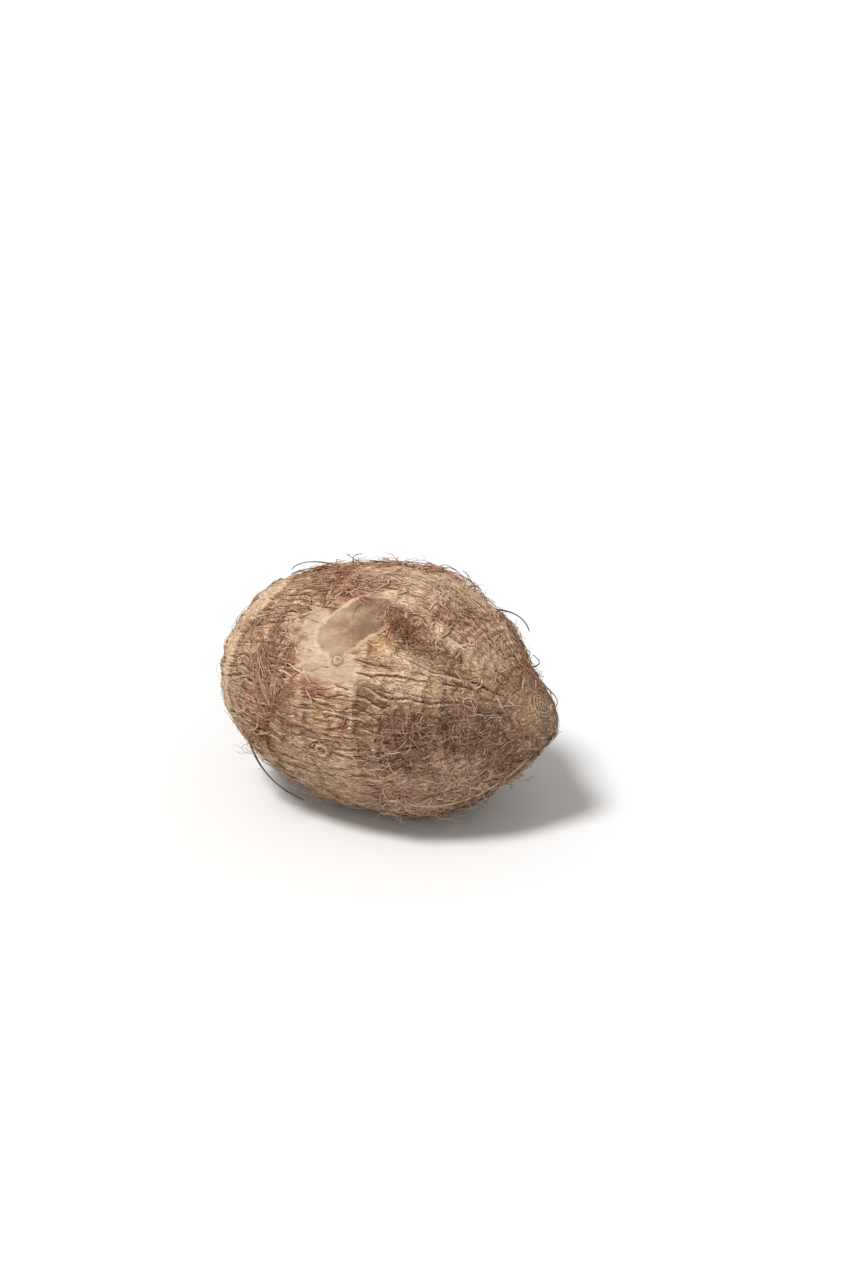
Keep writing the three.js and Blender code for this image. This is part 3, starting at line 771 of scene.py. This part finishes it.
def strands(name, paths, normals, width, thickness, sides=STRAND_SIDES):
    """Closed strands along paths (strand, step, xyz), each wider across the bark than it is thick."""
    count, steps = paths.shape[:2]
    along = unit(np.gradient(paths, axis=1))
    across = unit(np.cross(along, normals))
    upward = np.cross(across, along)
    turn = np.arange(sides) * 2 * np.pi / sides + np.pi / 2
    ring = paths[:, :, None] + (
        across[:, :, None] * (np.cos(turn)[:, None] * width[:, :, None, None])
        + upward[:, :, None] * (np.sin(turn)[:, None] * thickness[:, :, None, None]))
    points = ring.reshape(-1, 3)
    s = np.arange(sides)
    one = np.arange(steps - 1)[:, None] * sides
    a = (one + s).ravel()
    b = (one + (s + 1) % sides).ravel()
    walls = np.stack([a, b, b + sides, a + sides], 1)
    triangles = np.concatenate([walls[:, [0, 1, 2]], walls[:, [0, 2, 3]]])
    fan = np.stack([np.zeros(sides - 2, int), s[1:-1], s[2:]], 1)
    ends = np.concatenate([fan[:, ::-1], fan + (steps - 1) * sides])
    triangles = np.concatenate([triangles, ends])
    faces = (triangles[None] + np.arange(count)[:, None, None] * steps * sides).reshape(-1, 3)
    return new_piece(name, points, faces)


def write_attribute(piece, name, values):
    """A number for each point of the piece, or a vector where values are in threes."""
    vector = np.ndim(values) == 2
    made = piece.data.attributes.new(name, "FLOAT_VECTOR" if vector else "FLOAT", "POINT")
    made.data.foreach_set("vector" if vector else "value", np.asarray(values, np.float32).ravel())


def finish_piece(piece, material):
    piece.data.shade_smooth()
    piece.data.materials.append(material)
    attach(piece, BODY)


# Materials: a wrapped socket adds Math nodes when it is used in sums


class Wire:
    def __init__(self, build, socket):
        self.build = build
        self.socket = socket

    def sum(self, operation, *values):
        sockets = dict(enumerate(values))
        return self.build.node("ShaderNodeMath", {"operation": operation}, sockets)[0]

    def __add__(self, other):
        return self.sum("ADD", self, other)

    def __sub__(self, other):
        return self.sum("SUBTRACT", self, other)

    def __mul__(self, other):
        return self.sum("MULTIPLY", self, other)

    def __truediv__(self, other):
        return self.sum("DIVIDE", self, other)

    def __rsub__(self, other):
        return self.sum("SUBTRACT", other, self)

    __radd__ = __add__
    __rmul__ = __mul__

    def size(self):
        return self.sum("ABSOLUTE", self)

    def sine(self):
        return self.sum("SINE", self)

    def most(self, other):
        return self.sum("MAXIMUM", self, other)

    def between(self, low, high):
        """0 at low, 1 at high, smooth between them and the same outside."""
        values = {"Value": self, 1: low, 2: high}
        return self.build.node("ShaderNodeMapRange", {"interpolation_type": "SMOOTHSTEP"}, values)[0]


class Build:
    """Adds nodes to a material, and gives their outputs back as wires."""

    def __init__(self, name):
        self.material = bpy.data.materials.new(name)
        self.material.use_nodes = True
        self.tree = self.material.node_tree
        self.tree.nodes.clear()

    def node(self, kind, settings, sockets):
        made = self.tree.nodes.new(kind)
        for name, value in settings.items():
            setattr(made, name, value)
        for name, value in sockets.items():
            if isinstance(value, Wire):
                self.tree.links.new(value.socket, made.inputs[name])
            else:
                made.inputs[name].default_value = value
        return [Wire(self, socket) for socket in made.outputs]

    def attribute(self, name, vector=False):
        made = self.node("ShaderNodeAttribute", {"attribute_name": name}, {})
        return made[1] if vector else made[2]

    def cells(self, at):
        """A number for each cell of a cracked pattern, the same all over the cell."""
        colour = self.node("ShaderNodeTexVoronoi", {}, {"Vector": at, "Scale": 1.0})[1]
        return self.node("ShaderNodeRGBToBW", {}, {"Color": colour})[0]

    def warped(self, at, scale, reach):
        """Places moved about by noise, as far as reach."""
        drift = self.node("ShaderNodeTexNoise", {}, {"Vector": at, "Scale": scale, "Detail": 2.0})[1]
        moved = {0: drift, 1: (reach, reach, reach), 2: (-reach / 2, -reach / 2, -reach / 2)}
        drift = self.node("ShaderNodeVectorMath", {"operation": "MULTIPLY_ADD"}, moved)[0]
        return self.node("ShaderNodeVectorMath", {"operation": "ADD"}, {0: at, 1: drift})[0]

    def threads(self, at, scale, thin, detail=1.0, distortion=0.5):
        """Thin lines that wander: where smooth noise passes its middle."""
        return 1 - (self.noise(at, scale, detail, 0.5, distortion) - 0.5).size().between(thin, 2.2 * thin)

    def noise(self, at, scale, detail=2.0, roughness=0.5, distortion=0.0):
        sockets = {"Vector": at, "Scale": scale, "Detail": detail}
        sockets.update({"Roughness": roughness, "Distortion": distortion})
        return self.node("ShaderNodeTexNoise", {}, sockets)[0]

    def stretched(self, at, scale):
        return self.node("ShaderNodeMapping", {}, {"Vector": at, "Scale": scale})[0]

    def mix(self, share, first, second, blend="MIX"):
        """A colour between two, or the first blended with the second."""
        colours = {6: first, 7: second}
        for key, colour in colours.items():
            if not isinstance(colour, Wire):
                colours[key] = (*colour, 1.0)
        settings = {"data_type": "RGBA", "blend_type": blend, "clamp_result": blend != "MIX"}
        return self.node("ShaderNodeMix", settings, {0: share, **colours})[2]

    def bump(self, height, distance, strength=1.0):
        sockets = {"Height": height, "Distance": distance, "Strength": strength}
        return self.node("ShaderNodeBump", {}, sockets)[0]

    def surface(self, sockets):
        shader = self.node("ShaderNodeBsdfPrincipled", {}, sockets)[0]
        self.node("ShaderNodeOutputMaterial", {}, {"Surface": shader})
        return self.material


def bark_material(colours):
    """Dry fibrous bark: plates and streaks that run to the tip, fissures between them, and tangled hair,
    with painted shade in and beside the fissures, at the rings' feet and in the eyes' grooves, and painted
    highlights on the fissures' lips and the eyes.
    """
    b = Build("bark")
    laid = b.attribute("laid_out", vector=True)
    shifted = b.warped(laid, 260.0, 0.0022)
    plates = b.cells(b.stretched(shifted, (95, 330, 330)))
    streak = b.noise(b.stretched(laid, (70, 900, 900)), 1.0, 4.0, 0.6, 0.6)
    fine = b.noise(b.stretched(laid, (300, 2400, 2400)), 1.0, 3.0, 0.6, 0.4)
    broad = b.noise(laid, 60.0, 3.0, 0.55)
    blotch = b.noise(laid, 210.0, 4.0, 0.65, 0.4)
    flecks = b.noise(b.stretched(shifted, (330, 1000, 1000)), 1.0, 2.0, 0.6, 1.0)
    pale, dark, grey, calm, scar, band = map(b.attribute, ("pale", "dark", "grey", "calm", "scar", "band"))
    opening, threads, hairy = map(b.attribute, ("opening", "threads", "hairy"))
    comb, bud, swirl = map(b.attribute, ("comb", "bud", "swirl"))
    cords = b.noise(b.stretched(laid, (1300, 160, 160)), 1.0, 3.0, 0.6, 0.4).between(0.35, 0.6) * band
    bare = 1 - (calm * 0.7).most(scar).most(band * 0.6).most(dark * 0.45).most(bud * 0.7)
    rough = b.noise(laid, 900.0, 2.0) - 0.5

    # Fissures: the dark line is the fissure's brown bottom, partly painted shade; shade is painted shade
    # beside it; the lip on one side gets a painted highlight.
    beside = b.attribute("aside") + rough * 0.6
    apart = beside.size() / (0.09 + opening * 0.17)
    fissure = (1 - apart.between(0.5, 1.5)) * opening.between(0.03, 0.3)
    shade = (1 - apart.between(1.0, 4.0)) * opening.between(0.1, 0.6)
    lip_and_highlight = beside.between(0.2, 0.5) * (1 - beside.between(0.7, 1.5)) * opening.between(0.1, 0.5)
    apart = (b.attribute("thread_aside") + rough * 0.5).size() / (0.08 + threads * 0.12)
    thread = (1 - apart.between(0.5, 1.5)) * threads.between(0.1, 0.4)
    teeth = b.noise(b.stretched(laid, (120, 1500, 1500)), 1.0, 2.0).between(0.42, 0.56)
    teeth = teeth * comb.between(0.0, 0.5)
    bud_rings = (b.attribute("away") * 5.8 + blotch).sine()
    swirl_rings = (b.attribute("from_swirl") * 5.0 + blotch * 3.0).sine()
    rings = bud_rings.between(-0.3, 0.7) * bud + swirl_rings.between(-0.3, 0.7) * swirl
    gaps = (1 - bud_rings.between(-0.9, -0.1)) * bud + (1 - swirl_rings.between(-0.9, -0.1)) * swirl
    grain = b.threads(b.stretched(laid, (80, 420, 420)), 1.0, 0.016) * bare
    curls = b.threads(laid, 260.0, 0.012, 2.0, 1.2) * hairy.between(0.3, 0.7)
    light_curls = b.threads(b.stretched(laid, (210, 260, 260)), 1.0, 0.014, 2.0, 0.8)
    light_curls = light_curls * hairy.between(0.2, 0.6)
    loose_curls = b.threads(b.stretched(laid, (330, 430, 430)), 1.0, 0.018, 1.0, 0.8)
    loose_curls = loose_curls * hairy.between(0.3, 0.7)

    colour = b.mix(broad.between(0.32, 0.68) * 0.5 + (blotch - 0.5) * 0.7, colours.brown, colours.tan)
    scar_tone = b.mix(blotch.between(0.42, 0.7) * 0.55, colours.scar, colours.brown)
    scar_tone = b.mix((1 - broad.between(0.3, 0.6)) * 0.4, scar_tone, colours.pale)
    layers = (
        (pale * 0.8, colours.pale),
        (calm * 0.8, colours.sand),
        (b.attribute("red") * (0.45 + blotch * 0.7), colours.red),
        (plates.between(0.62, 0.72) * 0.28 * bare, colours.pale),
        ((1 - plates.between(0.28, 0.38)) * 0.3 * bare, colours.red),
        (dark * (0.55 + blotch * 0.45), colours.dark),
        (streak.between(0.5, 0.64) * 0.62 * bare, colours.tan),
        ((1 - streak.between(0.34, 0.47)) * 0.6 * bare, colours.red),
        (flecks.between(0.57, 0.64) * 0.55 * bare, colours.pale),
        ((1 - flecks.between(0.35, 0.42)) * 0.45 * bare, colours.red),
        (grey * blotch.between(0.3, 0.55) * 0.65, colours.grey),
        (b.attribute("crest") * 0.35, colours.pale),
        # Painted shade: the rings' feet darkened.
        (b.attribute("foot") * 0.4, colours.dark),
        (band * 0.35 + cords * 0.5, colours.pale),
        ((comb * -1.0).between(0.0, 0.6) * 0.4, colours.red),
        (teeth * 0.95, colours.pale),
        ((1 - b.attribute("away").between(8.0, 30.0)) * 0.3, colours.dark),
        (rings * 0.5, colours.tan),
        (gaps * 0.9, colours.dark),
        (scar, scar_tone),
        (b.attribute("torn") * 0.8, colours.pale),
        # The eyes' pale rings and middles are partly painted highlight; their dark grooves are painted
        # shade.
        (b.attribute("eye_light") * 0.7, colours.tan),
        (b.attribute("eye_dark") * 0.85, colours.dark),
        # Painted shade beside the fissures, then a painted highlight on one lip.
        (shade * 0.22, colours.dark),
        (lip_and_highlight * 0.55, colours.pale),
        (grain * 0.4, colours.dark),
        (curls * 0.65, colours.dark),
        (loose_curls * 0.5, colours.tan),
        (light_curls * 0.7, colours.pale),
        # The thin cracks' and fissures' dark lines: their brown bottoms, partly painted shade.
        (thread * 0.7, colours.fissure),
        (fissure * 0.85, colours.fissure),
    )
    for share, tone in layers:
        colour = b.mix(share, colour, tone)
    grainy = (fine - 0.5) * 2.6 * (1 - 0.6 * calm.most(scar)) + 0.4
    colour = b.mix(grainy, colour, b.mix(1.0, colour, (0.46, 0.41, 0.38), "MULTIPLY"))

    relief = streak * 0.5 + fine * 0.4 + flecks * 0.35 + lip_and_highlight * 0.4 - fissure * 0.5 - thread * 0.35
    relief = (relief - grain * 0.25) * bare + (light_curls + loose_curls) * 0.35 - curls * 0.2
    relief = relief + blotch * 0.25 + (rings - gaps) * 0.5 + cords * 0.5
    normal = b.bump(relief, 0.0011)
    roughness = 0.88 - dark * 0.2 - scar * 0.12
    return b.surface({"Base Color": colour, "Roughness": roughness, "Normal": normal,
                      "Specular IOR Level": 0.2})


def strand_material(name, shift=0.0):
    """Dry root hair, each strand with its own tone between the darkest and the lightest."""
    b = Build(name)
    colours = bpy.context.scene.taro_colours
    tone = b.attribute("tone")
    place = b.node("ShaderNodeTexCoord", {}, {})[3]
    mottle = b.noise(place, 900.0, 2.0)
    share = tone + (mottle - 0.5) * 0.4 + shift
    colour = b.mix(share.between(0.05, 0.5), colours.hair_dark, colours.hair_middle)
    colour = b.mix(share.between(0.5, 1.0), colour, colours.hair_light)
    colour = b.mix(b.attribute("rust") * 0.5, colour, colours.red)
    return b.surface({"Base Color": colour, "Roughness": 0.8, "Specular IOR Level": 0.15})


def floor_material(colour):
    b = Build("pale_floor")
    place = b.node("ShaderNodeTexCoord", {}, {})[3]
    soft = b.noise(place, 6.0, 2.0)
    shade = b.mix(soft.between(0.3, 0.7) * 0.02, tuple(colour), (0.8, 0.8, 0.79))
    return b.surface({"Base Color": shade, "Roughness": 0.9, "Specular IOR Level": 0.1})


# One operator for each piece


def the_root():
    return Root(bpy.context.scene.taro_egg, bpy.context.scene.taro_bark)


class TARO_OT_bark(bpy.types.Operator):
    """Make the root's skin, which stands for the whole corm"""

    bl_idname = "taro.bark"
    bl_label = "Bark"

    def execute(self, context):
        sizes = context.scene.taro_bark
        root = the_root()
        bpy.ops.object.select_all(action="DESELECT")
        bpy.ops.mesh.primitive_uv_sphere_add(segments=sizes.around_steps, ring_count=sizes.along_steps)
        skin = context.object
        skin.name = skin.data.name = "bark_skin"
        ball = np.zeros(len(skin.data.vertices) * 3, np.float32)
        skin.data.vertices.foreach_get("co", ball)
        ball = unit(ball.reshape(-1, 3).astype(float))
        tipped = np.degrees(np.arccos(np.clip(ball[:, 2], -1, 1)))
        around = np.mod(np.degrees(np.arctan2(ball[:, 1], ball[:, 0])), 360)
        n, laid, height, masks = root.skin(tipped, around)
        points = root.place(n, height)
        points[:, 2] = np.maximum(points[:, 2], LOWEST_SKIN)
        skin.data.vertices.foreach_set("co", (points * MM).astype(np.float32).ravel())
        skin.data.update()
        write_attribute(skin, "laid_out", laid * MM)
        for name, values in masks.items():
            write_attribute(skin, name, values)
        while skin.data.uv_layers:
            skin.data.uv_layers.remove(skin.data.uv_layers[0])
        finish_piece(skin, bark_material(context.scene.taro_colours))
        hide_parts("corm")
        return {"FINISHED"}


class TARO_OT_rootlets(bpy.types.Operator):
    """Grow the rootlets that the solid has, from the rings' feet"""

    bl_idname = "taro.rootlets"
    bl_label = "Rootlets"

    def execute(self, context):
        root = the_root()
        grown = [listed[:5] for listed in LONG_ROOTS]
        number = 0
        while len(grown) < ROOTLETS + len(LONG_ROOTS):
            turned_by, longer, lifted = (number * spread % 1 for spread in SPREADS)
            tipped = RINGS[BARE_RINGS + number % (len(RINGS) - BARE_RINGS)] - RING_STEP
            around = 360 * ((number * GOLDEN + FIRST_AROUND) % 1)
            number += 1
            n = root.direction(np.array([tipped]), np.array([around]))
            if root.place(n, 0)[0, 2] < LOWEST_ROOTLET or root.scar_distance(n)[0] < SCAR_CLEARANCE:
                continue
            length = ROOTLET_LENGTH[0] + (ROOTLET_LENGTH[1] - ROOTLET_LENGTH[0]) * longer
            lift = ROOTLET_LIFT[0] + (ROOTLET_LIFT[1] - ROOTLET_LIFT[0]) * lifted**2
            grown.append(((tipped, around), 360 * turned_by, length, lift, ROOTLET_RUSH))
        made = [root.path(*each, ROOTLET_STEPS) for each in grown]
        paths = np.array([points for points, _ in made])
        normals = np.array([n for _, n in made])
        thick = context.scene.taro_hair.rootlet_radius / MM
        s = np.linspace(0, 1, ROOTLET_STEPS)
        draw = np.random.default_rng(11)
        thickness, tone = draw.uniform((0.55, 0.15), (0.9, 0.65), (len(paths), 2)).T
        thickness[:len(LONG_ROOTS)], tone[:len(LONG_ROOTS)] = zip(*(listed[5:] for listed in LONG_ROOTS))
        radius = thick * thickness[:, None] * (1.15 - 0.75 * s + 0.12 * np.sin(9 * s))
        piece = strands("rootlets", paths, normals, radius, radius, ROOTLET_SIDES)
        write_attribute(piece, "tone", np.repeat(tone, ROOTLET_STEPS * ROOTLET_SIDES))
        write_attribute(piece, "rust", np.zeros(len(piece.data.vertices)))
        finish_piece(piece, strand_material("rootlet"))
        return {"FINISHED"}


def tone_strands(piece, draw, root, start, tones, steps):
    """Give each strand its tone, closer to the bark's where that is pale or dark, and make some rusty."""
    masks = root.patches(root.direction(start[:, 0], start[:, 1]), root.laid_out(start[:, 0], start[:, 1]))
    tones = tones + 0.5 * masks["pale"] - 0.35 * masks["dark"]
    rust = draw.uniform(0, 1, len(tones)) ** 4 + 0.6 * masks["red"]
    write_attribute(piece, "tone", np.repeat(tones, steps * STRAND_SIDES))
    write_attribute(piece, "rust", np.repeat(rust, steps * STRAND_SIDES))


def grow_strands(
        name, material, seed, count, steps, heading, length, lift, curl, size, tone,
        focus=1, stray=1, kind=None):
    """A piece of many strands. Lifts, lengths and curls are ranges; a heading is its middle, its spread and
    the share that points the other way; a tone is its range, and how much it keeps to the low end."""
    root = the_root()
    draw = np.random.default_rng(seed)
    start = root.scattered(draw, count, focus, kind)
    made = len(start)
    loose = stray * rise(-start[:, 0], -78, -50) * rise(90 - np.abs(start[:, 1] - 120), 0, 30)
    winding = rise(-start[:, 0], -30, -18)
    spread = heading[1] + (90 - heading[1]) * loose
    way = heading[0] + draw.normal(0, 1, made) * spread + 180 * (draw.uniform(0, 1, made) < heading[2])
    way = np.where(winding > draw.uniform(0, 1, made), 90 + draw.normal(0, 25, made), way)
    lengths = length[0] + (length[1] - length[0]) * draw.uniform(0, 1, made) ** 2
    lifts = np.stack([
        lift[0] * draw.uniform(0.2, 1, made),
        lift[1] * draw.uniform(0, 1, made) ** 5], 1)
    curls = draw.uniform(*curl, made) * (1 + loose)
    paths, normals = root.grow(draw, start, way, lengths, lifts, curls, steps)
    taper = np.linspace(1, 0.45, steps)
    shape = draw.uniform(0.6, 1.3, (made, 1)) * taper
    piece = strands(name, paths, normals, size[0] * shape, size[1] * shape)
    tones = tone[0] + (tone[1] - tone[0]) * draw.uniform(0, 1, made) ** tone[2]
    tone_strands(piece, draw, root, start, tones, steps)
    finish_piece(piece, material)


class TARO_OT_fibres(bpy.types.Operator):
    """Lay short fibres along the bark"""

    bl_idname = "taro.fibres"
    bl_label = "Bark fibres"

    def execute(self, context):
        hair = context.scene.taro_hair
        radius = hair.fibre_radius / MM
        grow_strands(
            "bark_fibres", strand_material("bark_fibre"), seed=21, count=hair.fibres, steps=6,
            heading=(180, 16, 0.4), length=(3, 11), lift=(0.15, 0.7), curl=(15, 70),
            size=(radius * 1.2, radius), tone=(0.0, 1.05, 0.9), focus=0.4, stray=0.15)
        return {"FINISHED"}


class TARO_OT_hairs(bpy.types.Operator):
    """Grow longer curly hairs that stand off the bark"""

    bl_idname = "taro.hairs"
    bl_label = "Root hairs"

    def execute(self, context):
        hair = context.scene.taro_hair
        radius = hair.fibre_radius / MM
        grow_strands(
            "root_hairs", strand_material("root_hair", 0.05), seed=22, count=hair.hairs, steps=12,
            heading=(180, 60, 0.3), length=(7, 20), lift=(0.9, 5.0), curl=(90, 260),
            size=(radius, radius), tone=(0.1, 1.0, 0.6))
        return {"FINISHED"}


class TARO_OT_tangle(bpy.types.Operator):
    """Tangle curly hairs where they are thickest, towards the tip and underneath"""

    bl_idname = "taro.tangle"
    bl_label = "Tangle"

    def execute(self, context):
        hair = context.scene.taro_hair
        radius = hair.fibre_radius / MM
        grow_strands(
            "tangle", strand_material("tangled_hair"), seed=24, count=hair.tangle, steps=12,
            heading=(120, 80, 0.5), length=(5, 13), lift=(0.8, 2.6), curl=(150, 380),
            size=(radius * 1.15, radius * 1.15), tone=(0.0, 1.0, 0.9), focus=4)
        return {"FINISHED"}


class TARO_OT_fans(bpy.types.Operator):
    """Spread bundles of fibres from places on the rings"""

    bl_idname = "taro.fans"
    bl_label = "Fibre fans"

    def execute(self, context):
        root = the_root()
        draw = np.random.default_rng(25)
        steps = 10
        fans = list(FANS)
        for number in range(HIDDEN_FANS):
            around = draw.uniform(125, 370)
            looks = draw.uniform((-180, 15, 8, 6, 0.3, 0.6, 30), (180, 70, 16, 16, 0.8, 2.0, 160))
            fans.append((FAN_RINGS[number % len(FAN_RINGS)], around, *looks))
        each = np.array(fans, float)
        each = np.repeat(each, each[:, 5].astype(int), axis=0)
        heading, spread, longest, _, tone, off, curl = each[:, 2:].T
        made = len(each)
        start = each[:, :2] + draw.normal(0, 0.9, (made, 2))
        way = heading + draw.normal(0, 1, made) * spread
        length = longest * draw.uniform(0.5, 1.1, made)
        lifts = np.stack([draw.uniform(0.3, 0.6, made), draw.uniform(0.3, 1, made)], 1) * off[:, None]
        paths, normals = root.grow(draw, start, way, length, lifts, curl, steps)
        shape = draw.uniform(0.8, 1.8, (made, 1)) * np.linspace(1, 0.5, steps)
        shape = np.where(off[:, None] > THIN_IF_OFF, 0.6, 1) * shape
        radius = context.scene.taro_hair.fibre_radius / MM * shape
        piece = strands("fibre_fans", paths, normals, radius * 1.3, radius)
        tone_strands(piece, draw, root, start, tone + draw.normal(0, 0.2, made), steps)
        finish_piece(piece, strand_material("fan_fibre"))
        return {"FINISHED"}


class TARO_OT_shreds(bpy.types.Operator):
    """Peel flat shreds of husk off the rings"""

    bl_idname = "taro.shreds"
    bl_label = "Husk shreds"

    def execute(self, context):
        hair = context.scene.taro_hair
        grow_strands(
            "husk_shreds", strand_material("husk_shred", 0.1), seed=23, count=hair.shreds, steps=4,
            heading=(180, 14, 0.5), length=(1.5, 5.0), lift=(0.3, 1.0), curl=(5, 40),
            size=(0.26, 0.06), tone=(0.25, 1.0, 0.6))
        grow_strands(
            "husk_flakes", strand_material("husk_flake"), seed=26, count=hair.flakes, steps=5,
            heading=(180, 45, 0.5), length=(3.0, 8.0), lift=(0.5, 1.6), curl=(10, 70),
            size=(0.6, 0.07), tone=(0.15, 0.95, 0.8), focus=0.1, stray=0, kind="red")
        return {"FINISHED"}


class TARO_OT_stage(bpy.types.Operator):
    """Set the pale floor, the soft lights and the camera"""

    bl_idname = "taro.stage"
    bl_label = "Stage"

    def execute(self, context):
        stage = context.scene.taro_stage
        bpy.ops.object.select_all(action="DESELECT")
        bpy.ops.mesh.primitive_circle_add(vertices=96, radius=9, fill_type="NGON")
        floor = context.object
        floor.name = floor.data.name = "floor"
        floor.data.materials.append(floor_material(stage.floor))
        middle = Vector(context.scene.taro_egg.centre)
        self.lights(context, stage, middle)
        across = Vector((math.cos(stage.azimuth), math.sin(stage.azimuth), 0))
        back = Vector((
            math.sin(stage.azimuth) * math.cos(stage.elevation),
            -math.cos(stage.azimuth) * math.cos(stage.elevation),
            math.sin(stage.elevation)))
        upward = back.cross(across)
        bpy.ops.object.camera_add(location=middle + back * stage.distance)
        camera = context.object
        aim = middle + across * stage.aside + upward * stage.above
        camera.rotation_euler = (aim - camera.location).to_track_quat("-Z", "Y").to_euler()
        camera.data.lens = stage.lens
        camera.data.clip_start = 0.01
        context.scene.camera = camera
        context.scene.view_settings.view_transform = "Standard"
        context.scene.view_settings.look = "None"
        return {"FINISHED"}

    def lights(self, context, stage, middle):
        for name, place, strength, softness in (
                ("soft_key", stage.sun_place, stage.sun_strength, stage.sun_softness),
                ("soft_fill", stage.fill_place, stage.fill_strength, stage.fill_softness)):
            bpy.ops.object.light_add(type="SUN", location=middle + Vector(place))
            light = context.object
            light.name = light.data.name = name
            light.data.energy = strength
            light.data.angle = softness
            light.rotation_euler = (-Vector(place)).to_track_quat("-Z", "Y").to_euler()
        world = bpy.data.worlds.new("studio")
        world.use_nodes = True
        sky = world.node_tree.nodes["Background"]
        sky.inputs["Color"].default_value = (1.0, 0.975, 0.955, 1.0)
        sky.inputs["Strength"].default_value = stage.sky_strength
        context.scene.world = world


class TARO_PT_panel(bpy.types.Panel):
    """Lists the pieces, in the order that they are made"""

    bl_idname = "TARO_PT_panel"
    bl_label = "Taro root"
    bl_space_type = "VIEW_3D"
    bl_region_type = "UI"
    bl_category = "Taro root"

    def draw(self, context):
        for operator in OPERATORS:
            self.layout.operator(operator.bl_idname)
        for name in GROUPS:
            group = getattr(context.scene, name)
            for key in group.bl_rna.properties.keys():
                if key not in ("name", "rna_type"):
                    self.layout.prop(group, key)


GROUPS = {
    "taro_egg": EggSizes,
    "taro_bark": BarkSizes,
    "taro_colours": BarkColours,
    "taro_hair": HairSizes,
    "taro_stage": StageSizes,
}
OPERATORS = (
    TARO_OT_bark, TARO_OT_rootlets, TARO_OT_fibres, TARO_OT_hairs, TARO_OT_tangle, TARO_OT_fans,
    TARO_OT_shreds, TARO_OT_stage)


def register():
    for group in GROUPS.values():
        bpy.utils.register_class(group)
    for kind in (*OPERATORS, TARO_PT_panel):
        bpy.utils.register_class(kind)
    for name, group in GROUPS.items():
        setattr(bpy.types.Scene, name, PointerProperty(type=group))


def unregister():
    for name in GROUPS:
        delattr(bpy.types.Scene, name)
    for kind in (TARO_PT_panel, *reversed(OPERATORS), *reversed(GROUPS.values())):
        bpy.utils.unregister_class(kind)


def main():
    register()
    for operator in OPERATORS:
        part, name = operator.bl_idname.split(".")
        getattr(getattr(bpy.ops, part), name)()


if __name__ == "__main__":
    main()
